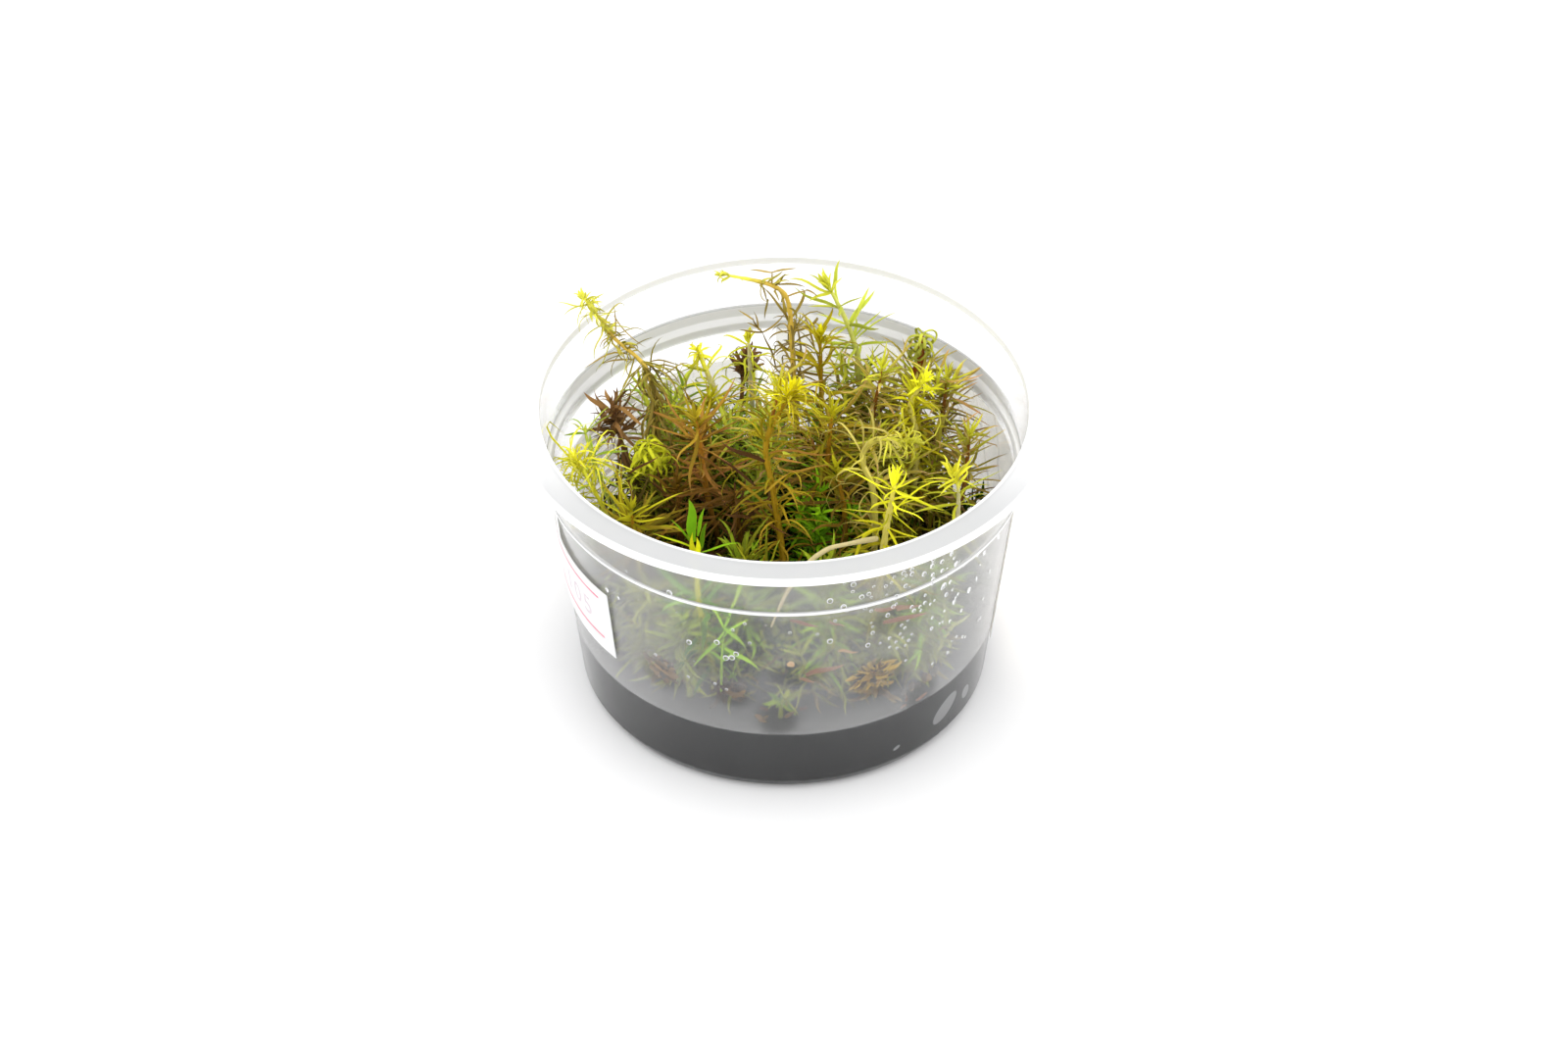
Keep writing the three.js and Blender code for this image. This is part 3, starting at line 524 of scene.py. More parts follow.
# What is special about each shoot. Skip is how far down from the bud the leaves of the frame are
# left out. An own leaf is the x, y and z of its foot, those of its point, half its width, its bend
# in degrees and its age. Bunches are leaves at random places: (from, to) as shares of the stem,
# count, pitch, length and half width. Fray is torn leaves against the wall: azimuth, height, half
# their spread in degrees and in height, and count.
SHOOTS = {
    "shoot_back_arched": dict(style="wiry", reach=0.75, skip=24, low=0, extra=1, between=0, stem=0.85,
                              bunches=(
        ((0.45, 0.7), 46, (-50, 40), (4, 9), 0.27), ((0.68, 0.97), 16, (-60, 40), (1.5, 4), 0.24),
    ), own=(
        (-2.3, 21.8, 72.6, -2.2, 21.8, 76.6, 0.36, 0, 2.6),
        (-2.3, 21.8, 76, -6.6, 20.8, 77.4, 0.34, 10, 2.6),
        (-2.3, 21.8, 76, 2.5, 21, 77.6, 0.34, 10, 2.6), (-1, 22.6, 72.6, 4.1, 22, 72.4, 0.36, 50, 2.6),
        (0.4, 24, 68.6, 4.8, 24, 70.3, 0.32, 30, 2.6), (4.2, 24, 70.3, 6.5, 24, 68.7, 0.32, 20, 2.6),
        (-1.6, 24, 52, -4.4, 24, 61.2, 0.42, 10, 2.2), (-4.9, 24, 60.8, -5.8, 24, 65.3, 0.34, 25, 2.6),
        (-4.2, 24, 60.2, -6, 24, 63.9, 0.36, -30, 2.6), (-5.8, 24, 63.2, -8.8, 24, 65.6, 0.34, 20, 2.6),
        (-4.2, 24, 60.2, 0.2, 24, 65, 0.38, -45, 2.6), (-4.4, 24, 60.8, -7.2, 24, 62.6, 0.32, 20, 2.6),
        (-4.2, 24, 60.2, -8.6, 24, 60.9, 0.36, -10, 2),
        (-4.2, 21.5, 73.4, -3.1, 22, 68.6, 0.36, 10, 1.6), (-3, 22, 69.6, -3.7, 22, 64.8, 0.42, 10, 1.4),
        (5.8, 24, 57, 3.4, 24, 65.3, 0.44, 15, 2.2), (3.6, 25, 52, 1.8, 25, 63.6, 0.4, 10, 2.2),
        (3.1, 24, 50, 3.4, 24, 58.2, 0.5, 10, 2.2),
    )),
    "shoot_left_tall": dict(style="wiry", young=16, extra=1, between=0, reach=0.85, stem=0.7, bunches=(
        ((0.6, 0.76), 30, (-89, -74), (8, 12), 0.28), ((0.42, 0.6), 24, (-88, -66), (6, 10), 0.28),
        ((0.4, 0.75), 10, (-20, 40), (6, 10), 0.24),
        ((0.76, 0.99), 56, (-85, -20), (1.4, 3.2), 0.26),
    ), own=(
        (-31.7, 15, 65.7, -31.9, 15, 74, 0.26, 12, 2.6),
        (-31.8, 15, 71, -25.9, 15, 63.4, 0.26, -40, 2.6),
        (-29, 15, 61.7, -38.2, 14, 58.9, 0.26, 65, 2.6),
        (-25.6, 15, 59.9, -19.3, 15, 59.2, 0.26, 70, 2.6),
        (-23.8, 15, 56.1, -22.6, 14, 61.5, 0.26, -25, 2.6),
        (-23.2, 15, 57.1, -17.6, 15, 59.4, 0.26, 25, 2.2),
        (-31.8, 15, 66, -34.6, 15, 63.2, 0.26, 90, 2.6),
        (-28.6, 14, 61.4, -34.8, 12, 61.6, 0.28, 50, 1.6),
    )),
    "shoot_star_centre": dict(style="starry", tuft=13, tuft_length=4.8, tuft_width=0.5, tuft_pitch=(0, 82),
                              tuft_curl=(0, 50), young=3.4, curl=(30, 170), width=0.26, extra=4, between=0,
                              low=2, pitch=(-30, 20), stem=0.95, reach=0.8, bunches=(
        ((0.94, 0.975), 46, (-40, 20), (6, 9), 0.17), ((0.8, 0.93), 12, (-35, 20), (7, 10), 0.22),
        ((0.5, 0.8), 16, (-30, 25), (8, 12), 0.26),
    )),
    "shoot_green_back": dict(style="airy", low=6, reach=0.85, tuft=6, tuft_pitch=(50, 86), tuft_length=4,
                             bunches=(((0.45, 0.75), 26, (-15, 50), (6, 10), 0.36),)),
    "shoot_yellow_front": dict(style="yellow", young=14, extra=2, between=0, length=(9, 13), low=2, width=0.3,
                               stem=1.05, tuft=7, tuft_width=0.46, tuft_length=4, tuft_pitch=(68, 88),
                               tuft_curl=(-5, 12), curl=(-40, 80), reach=0.9),
    "shoot_curl_right": dict(style="limp", young=8, curl=(60, 240), between=0, length=(4, 8), width=0.22,
                             tuft_length=3, tuft_width=0.28, tuft=18, tuft_pitch=(-30, 70), stem=0.95,
                             reach=0.75),
    "shoot_star_right": dict(style="pale", extra=2, between=0, curl=(10, 60), low=0, width=0.26,
                             tuft_width=0.52, tuft_length=4.8, tuft_pitch=(10, 84), tuft=8, length=(7, 10),
                             tuft_curl=(-10, 40)),
    "shoot_left_head": dict(style="pale", young=18, curl=(80, 250), width=0.2, length=(7, 11),
                            tuft_length=5, tuft_width=0.24, tuft=26, tuft_pitch=(-60, 55), own=(
        (-38.2, -3, 50, -44.6, -3.5, 48.6, 0.24, 70, 1.2), (-36.6, -4, 52, -25.5, -9, 52, 0.22, 40, 0.6),
        (-37.1, -4, 50.9, -28.2, -10, 51.6, 0.22, 60, 0.9),
        (-38, -4, 50.3, -38.9, -7, 46.8, 0.3, 20, 0.3), (-37, -4, 51, -30, -9, 50.2, 0.22, 90, 0.7),
        (-37.4, -4, 50.8, -36.2, -9, 47.4, 0.26, 40, 0.5),
    )),
    "shoot_rosette_left": dict(style="lime", coil=46, coil_width=0.38, young=12, tuft=0, skip=6, between=0,
                               coil_bend=(190, 330), coil_length=(5.5, 8.5)),
    "shoot_left_mid": dict(style="red", low=1, extra=2),
    "shoot_yellow_right": dict(style="yellow", young=5, curl=(20, 110), width=0.3, extra=5, reach=0.8,
                               tuft=16, tuft_length=3.4, tuft_width=0.32, tuft_pitch=(-40, 65),
                               length=(4, 8), pitch=(-45, 20), stem=0.9),
    "shoot_yellow_back_left": dict(style="pale", curl=(30, 160), extra=1, between=0, low=0, tuft=22,
                                   tuft_length=3.2, tuft_width=0.34, stem=1.1, length=(3, 6),
                                   skip=5, tuft_pitch=(-60, 50)),
    "shoot_curl_back": dict(style="spent", coil=32, coil_width=0.36, tuft=0, young=9, skip=8, stem=1.8,
                            coil_bend=(240, 420), coil_length=(4.5, 7.5), stem_age=2, own=(
        (22.8, 20, 58.6, 23.8, 20, 62.4, 0.4, 20, 1.2),
    )),
    "shoot_right_red": dict(style="back", extra=3, low=4, own=(
        (28.9, 18, 53.1, 38, 16, 56.4, 0.42, -20, 1.8), (32.8, 16, 51.4, 36.8, 14, 56.1, 0.42, 15, 1.5),
        (29.7, 18, 56.4, 31.4, 19, 60.2, 0.4, 15, 1.2), (32.7, 18, 54.2, 34.1, 19, 57.2, 0.36, 15, 1.2),
    )),
    "shoot_bud_back": dict(style="starry", width=0.36, pitch=(-10, 40), extra=1, between=0, low=2, young=3,
                           tuft=8, tuft_length=2.8, tuft_width=0.45, tuft_pitch=(55, 86)),
    "shoot_slim_back": dict(style="pale", extra=0, between=0, low=0, young=3, tuft=8, tuft_length=2.8,
                            tuft_width=0.45, tuft_pitch=(55, 86), stem=0.9),
    "shoot_left_small": dict(style="fresh", width=0.3, low=0, extra=0, tuft=2, skip=7, tuft_width=0.35, own=(
        (-37.6, 8, 48.3, -32.8, 8, 55.1, 0.36, 20, 0.7), (-37.6, 8, 48.3, -32.3, 7, 53.8, 0.34, 25, 0.7),
        (-37.6, 8, 48.3, -41.8, 8, 47.9, 0.42, 20, 1.8), (-38, 8, 48.5, -41, 9, 50.2, 0.22, 170, 1.8),
    )),
    "shoot_left_front": dict(style="olive", length=(10, 15), extra=4),
    "shoot_green_front": dict(style="lush", width=0.5, tuft=0, skip=8, extra=2, own=(
        (-15.8, -30.6, 46.5, -16.6, -29.4, 55.4, 0.72, 5, 0),
        (-15.5, -30.8, 46.5, -15.9, -29.6, 54.4, 0.66, -5, 0.2),
        (-16.4, -29.6, 53.2, -17.3, -26, 60.4, 0.95, 14, 1.3),
        (-15.7, -29.6, 54.6, -14.4, -27.5, 59.6, 0.4, 15, 1.4),
        (-15.4, -29.8, 51, -14, -27.5, 56.2, 0.5, 12, 1.2),
        (-16.4, -29.5, 52, -20.8, -28.5, 57.7, 0.3, 15, 1.5),
        (-15.2, -29.5, 50.6, -7.7, -29, 52.4, 0.3, 15, 0.8),
        (-15.6, -29.5, 51, -24, -28.5, 54.4, 0.28, 25, 0.6),
    )),
    "shoot_dark_mid": dict(style="umber", low=0, extra=0, between=0, skip=4, young=0.5, tuft=4, bunches=(
        ((0.92, 1.0), 14, (-20, 20), (11, 15), 0.3),
    ), own=(
        (-5.8, -20, 50.5, -11, -20, 51.9, 0.42, 15, 3),
        (-7.6, -20, 52.4, -5.2, -20, 53.3, 0.36, 20, 0.4),
        (-5.3, -19, 57.7, -12.8, -17, 63.3, 0.4, 25, 3),
        (-3.5, -15, 60.2, -11.7, -15, 65.1, 0.72, -20, 3),
        (-15.8, -12, 59.1, -10.4, -14, 54.9, 0.36, 25, 1.5),
        (-28.4, -14, 56.7, -23, -12, 59.1, 0.36, -15, 2.4),
    )),
    "shoot_mid_back": dict(style="back", extra=2, between=0, low=2),
    "shoot_mid_right": dict(style="olive", low=1),
    "shoot_mid_left": dict(style="olive", low=1, extra=2),
    "shoot_back_right": dict(style="back", extra=3, low=3),
    "shoot_right_edge": dict(style="back", extra=2, low=3, length=(6, 9), own=(
        (32.6, 12, 53.5, 37.8, 10, 51.1, 0.42, 20, 1.8), (33, 4, 45.7, 36.6, 2, 49.8, 0.36, 15, 1.8),
        (33.4, 8, 50.1, 37, 6, 55.5, 0.36, 15, 1.5),
    )),
    "shoot_inner_right": dict(style="olive", extra=2, between=0, low=1, own=(
        (-2.8, -12, 59.7, 9.7, -12, 59.7, 0.32, 12, 1.9),
        (-1.1, -14, 57.9, 8.8, -13, 57.6, 0.32, -10, 1.9),
        (-1.9, -14, 60.3, 3.9, -15, 59.7, 0.3, 15, 1.6),
        (-3.6, -16, 53.3, 1.4, -14, 57.1, 0.34, 12, 1.4),
    )),
    "shoot_inner_left": dict(style="umber", low=0, extra=1, between=0, length=(10, 14)),
    "shoot_front_left": dict(style="shady", bunches=(((0.3, 0.9), 20, (-20, 50), (6, 10), 0.45),), own=(
        (-11.5, -35.5, 22, -10.9, -35.5, 38.3, 0.5, 5, 2.5),
        (-10.9, -35.5, 38, -9.3, -35.5, 44.4, 0.6, -15, 2.5),
        (-10.9, -35.5, 38, -6.9, -36, 33.2, 0.6, 25, 2.5),
        (-10.9, -35.5, 37, -16.1, -35.5, 29.8, 0.6, -25, 2.5),
        (-10.9, -35.5, 33, -4.3, -36.5, 28.2, 0.6, 30, 2.5),
        (-10.9, -35.5, 35, -16.9, -35.5, 28.2, 0.5, 20, 2.5),
        (-10.9, -35.5, 38, -13.6, -35, 42.5, 0.5, 20, 2.5),
        (-10.9, -35.5, 36, -6.3, -36, 40.6, 0.5, 20, 2.5),
        (-11.2, -35.5, 30, -8.4, -36, 32.2, 0.6, 30, 2.5),
        (-11.2, -35.5, 30, -14, -35.5, 32.1, 0.5, 30, 2.5),
    )),
    "shoot_front_mid": dict(style="shady", low=2, extra=3, width=0.4, own=(
        (-3.1, -29, 46.5, -3, -29, 57.2, 0.5, 8, 1), (-6.5, -29, 47.2, -8.9, -29, 52.5, 0.36, 15, 0.2),
        (-2.6, -29, 47, -0.6, -29, 53.5, 0.36, 15, 0.8),
        (-9.4, -30, 47, -12.6, -29.5, 50.6, 0.3, 25, 0.6),
    )),
    "shoot_front_right": dict(style="shady", low=2, extra=3, width=0.4),
    "shoot_low_green": dict(style="dull", low=2, bunches=(((0.3, 1), 24, (-20, 50), (5, 8), 0.45),)),
    "shoot_small_front": dict(style="green", low=0, width=0.5, young=0.3, tuft_length=2.6, extra=4,
                              length=(3, 5), pitch=(-15, 25), reach=0.72),
    "dead_top_left": dict(style="dead", bunches=(
        ((0.62, 0.95), 30, (-85, -10), (4, 9), 0.36), ((0.85, 1), 16, (-20, 70), (4, 8), 0.5),
    )),
    "dead_top_back": dict(style="dead", length=(2.5, 5), tuft_length=3, reach=0.7),
    "dead_clump_left": dict(style="brown", width=0.7, fray=(-123.8, 25.8, 5.0, 3.6, 130)),
    "dead_clump_front": dict(style="sooty", length=(2, 4), reach=0.7,
                             fray=(-103.4, 25.9, 4.0, 2.6, 110)),
    "dead_clump_right": dict(style="frayed", fray=(-66, 27.8, 7.6, 4.6, 150)),
}

# Width along a leaf as a share of its widest, from its foot to its point
NEEDLE_SHAPE = np.array([0.62, 0.86, 1.0, 0.98, 0.88, 0.7, 0.44, 0.0])
SPRIG_SHAPE = np.array([0.5, 1.0, 0.9, 0.6, 0.0])
BLADE_SHAPE = np.array([0.4, 0.7, 0.95, 1.0, 0.92, 0.72, 0.42, 0.0])

# How thick a leaf is for its width
NEEDLE_DEPTH = 0.5
BLADE_DEPTH = 0.3
COIL_DEPTH = 0.6


class Plant:
    """Grows the fine leaves of one shoot round the stem and the leaf points of the frame."""

    AGEING = 30
    SUNK = 0.7
    WHORL_GAP = (3.2, 4.6)
    LOWEST_WHORL = GEL_TOP + 3
    TUFT_DEPTH = 2.2
    COIL_REACH = 0.55
    COIL_OFF = 0.4
    COIL_AGE = 0.5
    BUD_ROOM = 0.3
    BUD_SHARE = 0.45
    TAPER_LENGTH = 16
    KNOT = 0.22
    KNOT_REACH = 0.8
    FRAY_OFF_FOOT = 0.97
    FRAY_OFF_POINT = 0.992

    def __init__(self, node, templates):
        self.node = node
        style = SHOOTS[node]["style"]
        self.look = {**PLAIN, **STYLES[KIN.get(style, style)], **SHOOTS[node]}
        self.random = np.random.default_rng(SEED + sorted(SHOOTS).index(node))
        self.shoot = Shoot(node)
        self.leaves = Leaves(self.random, templates["leaf"])
        self.coils = Leaves(self.random, templates["coil"])
        self.stem_template = templates["stem"]

    def range(self, name):
        return self.random.uniform(*self.look[name])

    def age_at(self, distance):
        """0 at the bud, 1 where the bright part ends, and up to 2 at the foot."""
        below = self.shoot.length - distance
        young = self.look["young"]
        if below < young:
            return below / young
        return 1 + min((below - young) / self.AGEING, 1)

    def leaf(self, base, tip, up, distance, width=None, curl="curl"):
        bend = self.range(curl)
        width = self.look["width"] if width is None else width
        self.leaves.add(
            base=base, tip=tip, up=up, bend=bend, late=self.random.uniform(1.0, 2.4),
            roll=self.random.normal(0, 28), width=width * self.random.uniform(0.85, 1.15),
            age=self.age_at(distance),
        )

    def coil_round(self):
        """Young leaves that spring out of the tip and roll up on themselves."""
        top = self.shoot.length
        count = self.look["coil"]
        for step in range(count):
            distance = top - self.look["young"] * self.COIL_REACH * (1 - step / count)
            heading = self.shoot.heading(distance)[0]
            outward = whorl_side(heading, step * GOLDEN_ANGLE)
            aim = unit(outward + heading * self.random.uniform(0.1, 0.9))
            base = self.shoot.point(distance)[0] + outward * self.COIL_OFF
            self.coils.add(
                base=base, tip=base + aim, up=heading, bend=self.range("coil_bend"),
                late=self.random.uniform(1.1, 1.6), roll=self.random.normal(0, 25),
                width=self.look["coil_width"], age=self.age_at(distance) * self.COIL_AGE,
                length=self.range("coil_length"),
            )

    def bunches(self):
        """Leaves at random places along a part of the stem."""
        for part, count, pitch, length, width in self.look["bunches"]:
            for _ in range(count):
                distance = self.shoot.length * self.random.uniform(*part)
                angle = self.random.uniform(0, FULL_TURN)
                self.out_of(distance, angle, self.random.uniform(*pitch), self.random.uniform(*length), width)

    def out_of(self, distance, angle, pitch, length, width=None, curl="curl"):
        """A leaf of its own length out of the stem, at an angle round it and a pitch above it."""
        centre = self.shoot.point(distance)[0]
        heading = self.shoot.heading(distance)[0]
        outward = whorl_side(heading, angle)
        pitch = math.radians(pitch)
        aim = outward * math.cos(pitch) + heading * math.sin(pitch)
        base = centre + outward * self.stem_radius(distance) * self.SUNK
        self.leaf(base, base + aim * length, heading, distance, width, curl)

    def stem_radius(self, distance):
        below = self.shoot.length - distance
        taper = np.clip(self.BUD_SHARE + below / self.TAPER_LENGTH, self.BUD_SHARE, 1)
        return self.shoot.radius(distance) * self.look["stem"] * taper

    def frame_leaves(self):
        for ring, foot, tip in self.shoot.leaves:
            distance = self.shoot.at[ring]
            if self.shoot.length - distance < self.look["skip"]:
                continue
            centre = self.shoot.point(distance)[0]
            heading = self.shoot.heading(distance)[0]
            outward = unit(foot - centre)
            base = centre + outward * self.stem_radius(distance) * self.SUNK
            self.leaf(base, base + (tip - base) * self.look["reach"], heading, distance)

    def own_leaves(self):
        for *ends, width, bend, age in self.look["own"]:
            self.leaves.add(base=ends[:3], tip=ends[3:], up=(0, 0, 1), bend=bend, width=width, age=age)

    def fray(self):
        """Torn leaves that lie against the wall in front of the clump."""
        if not self.look["fray"]:
            return
        azimuth, z, wide, high, count = self.look["fray"]
        for _ in range(count):
            turn = self.random.uniform(0, FULL_TURN)
            inner = self.random.uniform(-0.2, 0.3)
            outer = inner + self.random.uniform(0.35, 0.85)
            ends = []
            for share, aside in ((inner, 0), (outer, self.random.normal(0, 0.35))):
                spot = np.array([math.cos(turn + aside), math.sin(turn + aside)]) * share
                ends.append(on_wall(azimuth + wide * spot[0], z + high * spot[1]))
            off_foot = np.array([self.FRAY_OFF_FOOT, self.FRAY_OFF_FOOT, 1])
            base = ends[0] * off_foot + self.random.normal(0, 0.3, 3)
            tip = ends[1] * np.array([self.FRAY_OFF_POINT, self.FRAY_OFF_POINT, 1])
            self.leaves.add(
                base=base, tip=tip, up=level_of(tip), bend=self.random.uniform(-90, 90), late=1.2,
                roll=self.random.normal(0, 40), width=self.look["width"] * self.random.uniform(0.5, 1.5),
                age=self.random.uniform(0.0, 2.5),
            )

    def more_leaves(self):
        """Leaves between those of each whorl, and whorls between the whorls."""
        rings = sorted({ring for ring, _, _ in self.shoot.leaves})
        places = [self.shoot.at[ring] for ring in rings]
        places = [p for p in places if self.shoot.length - p >= self.look["skip"]]
        for index, place in enumerate(places):
            self.ring_of_leaves(place, self.look["extra"])
            if index + 1 < len(places):
                for step in range(self.look["between"]):
                    share = (step + 1) / (self.look["between"] + 1)
                    self.ring_of_leaves(place + (places[index + 1] - place) * share, self.look["extra"] + 2)
        lowest = places[0] if places else self.shoot.length - self.look["skip"]
        for step in range(self.look["low"]):
            place = lowest - (step + 1) * self.random.uniform(*self.WHORL_GAP)
            if self.shoot.point(place)[0][2] > self.LOWEST_WHORL:
                self.ring_of_leaves(place, self.look["extra"] + 1)

    def ring_of_leaves(self, distance, count):
        start = self.random.uniform(0, FULL_TURN)
        rise = np.clip(distance / self.shoot.length, 0, 1) ** 2
        low, high = self.look["pitch"]
        for step in range(count):
            if self.random.random() < self.look["lacking"]:
                continue
            angle = start + step / count * FULL_TURN + self.random.normal(0, 0.32)
            pitch = low + (high - low) * rise + self.random.normal(0, 18)
            self.out_of(distance, angle, pitch, self.range("length"))

    def tuft(self):
        """The young leaves that close round the bud."""
        count = self.look["tuft"]
        low, high = self.look["tuft_pitch"]
        curl = "tuft_curl" if self.look["tuft_curl"] else "curl"
        for step in range(count):
            inner = step / count
            place = self.shoot.length - self.TUFT_DEPTH + 2 * inner
            pitch = low + (high - low) * inner + self.random.normal(0, 8)
            length = self.look["tuft_length"] * (1 - 0.4 * inner) * self.random.uniform(0.85, 1.15)
            self.out_of(place, step * GOLDEN_ANGLE, pitch, length, self.look["tuft_width"], curl)

    def stem(self, growth):
        t = np.linspace(0, 1, STEM_STEPS + 1)
        distance = t * (self.shoot.length - self.BUD_ROOM)
        line = self.shoot.point(distance)[None]
        radius = self.stem_radius(distance)
        knots = np.array([self.shoot.at[ring] for ring, _, _ in self.shoot.leaves])
        if len(knots):
            away = np.abs(distance[:, None] - knots[None, :]).min(axis=1)
            radius = radius * (1 + self.KNOT * np.exp(-(away / self.KNOT_REACH) ** 2))
        corners = self.stem_template.along(line, radius[None, :], (0.0, 1.0, 0.15))
        station = self.stem_template.station
        ages = np.array([self.age_at(d) for d in distance])
        if self.look["stem_age"] is not None:
            ages = np.full(len(distance), float(self.look["stem_age"]))
        growth.add(
            self.stem_template, corners, age=ages[station][None, :], along=t[station][None, :],
            ridge=0.5, chance=self.random.random(), stem=1.0,
        )

    def grow(self):
        growth = Growth()
        self.stem(growth)
        self.frame_leaves()
        self.own_leaves()
        self.fray()
        self.more_leaves()
        self.bunches()
        self.tuft()
        self.coil_round()
        blade = self.look["blade"]
        self.leaves.grow(growth, *((BLADE_SHAPE, BLADE_DEPTH) if blade else (NEEDLE_SHAPE, NEEDLE_DEPTH)))
        self.coils.grow(growth, NEEDLE_SHAPE, COIL_DEPTH)
        return growth.piece()


class Undergrowth:
    """Low sprigs that crowd the gel between the shoots. Arc is the part of the cup that they fill, in
    degrees, reach how far from the middle they stand, and level the height from whorl to whorl."""

    FRONT_ROOM = 8
    FRONT_REACH = 25
    ROOTED = 0.5
    TALL = 20
    LEAN = 0.35
    TALL_LEAN = 0.12

    def __init__(self, template, seed, count, height, length, width, arc=(0, 360), reach=(0, 37), level=2.4,
                 pitch=15):
        self.random = np.random.default_rng(SEED + seed)
        self.count = count
        self.height = height
        self.length = length
        self.width = width
        self.arc = arc
        self.reach = reach
        self.level = level
        self.pitch = pitch
        self.leaves = Leaves(self.random, template)

    def place(self):
        """A spot on the gel: at the front the sprigs keep further off the wall."""
        low, high = self.reach
        while True:
            azimuth = math.radians(self.random.uniform(*self.arc))
            radius = math.sqrt(self.random.uniform(low ** 2, high ** 2))
            x, y = radius * math.cos(azimuth), radius * math.sin(azimuth)
            limit = high if y > 0 else high - self.FRONT_ROOM * min(-y / self.FRONT_REACH, 1)
            if radius <= limit:
                return x, y

    def sprig(self):
        x, y = self.place()
        height = self.random.uniform(*self.height)
        foot = np.array([x, y, GEL_TOP - self.ROOTED])
        lean = self.random.normal(0, self.LEAN if height < self.TALL else self.TALL_LEAN, 2)
        heading = unit(np.array([lean[0], lean[1], 1.0]))
        levels = max(int(height / self.level), 1)
        for level in range(levels):
            centre = foot + heading * height * (level + 1) / levels
            turn = self.random.uniform(0, FULL_TURN)
            for step in range(SPRIG_LEAVES):
                aside = turn + step * FULL_TURN / SPRIG_LEAVES + self.random.normal(0, 0.3)
                outward = whorl_side(heading, aside)
                pitch = math.radians(self.random.normal(self.pitch + 30 * level / levels, 20))
                aim = outward * math.cos(pitch) + heading * math.sin(pitch)
                self.leaves.add(
                    base=centre, tip=centre + aim * self.random.uniform(*self.length), up=heading,
                    bend=self.random.uniform(-20, 80), width=self.width * self.random.uniform(0.8, 1.2),
                    roll=self.random.normal(0, 25), age=self.random.uniform(0, 1.8) - 0.5 * level / levels,
                )

    def grow(self):
        for _ in range(self.count):
            self.sprig()
        return self.leaves.piece(SPRIG_SHAPE, NEEDLE_DEPTH)


# The kind of each patch of undergrowth and its settings
UNDERGROWTH = {
    "basal_moss": ("moss", dict(seed=101, count=280, height=(1.5, 17), length=(2.5, 6.5), width=0.38)),
    "basal_olive": ("olive", dict(seed=102, count=26, height=(5, 16), length=(5, 10), width=0.32)),
    "basal_red": ("red", dict(seed=103, count=14, height=(5, 14), length=(5, 11), width=0.32)),
    "back_thicket": ("back", dict(seed=104, count=28, height=(20, 36), length=(6, 10), width=0.4,
                                  arc=(8, 66), reach=(17, 32), level=3.4, pitch=0)),
    "right_thicket": ("olive", dict(seed=105, count=16, height=(12, 26), length=(5, 9), width=0.38,
                                    arc=(-45, 10), reach=(18, 29), level=3.2, pitch=0)),
    "front_mist": ("misty", dict(seed=109, count=36, height=(8, 24), length=(4, 8), width=0.4,
                                 arc=(-150, -30), reach=(31, 41), level=3.0, pitch=5)),
    "green_hollow": ("hollow", dict(seed=107, count=20, height=(14, 26), length=(3, 6), width=0.4,
                                    arc=(-35, 60), reach=(3, 17), level=2.6, pitch=15)),
    "green_thicket": ("fresh", dict(seed=106, count=24, height=(16, 33), length=(5, 8), width=0.42,
                                    arc=(70, 145), reach=(8, 34), level=3.2, pitch=10)),
    "left_thicket": ("gloom", dict(seed=108, count=34, height=(12, 27), length=(4, 8), width=0.36,
                                   arc=(125, 200), reach=(16, 36), level=3.0, pitch=5)),
}

# Leaves that fell on the gel behind the front wall: x, y, length, heading and bend in degrees
FALLEN = (
    (22.4, -31.5, 3.2, 70, 60), (23.4, -33.5, 3.6, 250, 80), (24.8, -31.5, 3, 40, 30),
    (8.6, -25.2, 4.6, 12, -60), (6.2, -25.8, 2.6, 160, 200), (0.9, -24, 3.2, 80, 300),
    (5, -19.5, 5.5, -15, 50), (9.5, -16, 6, 5, -30), (14.6, -19, 6.5, 170, 25),
    (-14.5, -24.5, 4.5, 100, 60), (2.8, -33.6, 2.2, 20, 90), (-3, -34, 2, 150, 70),
)

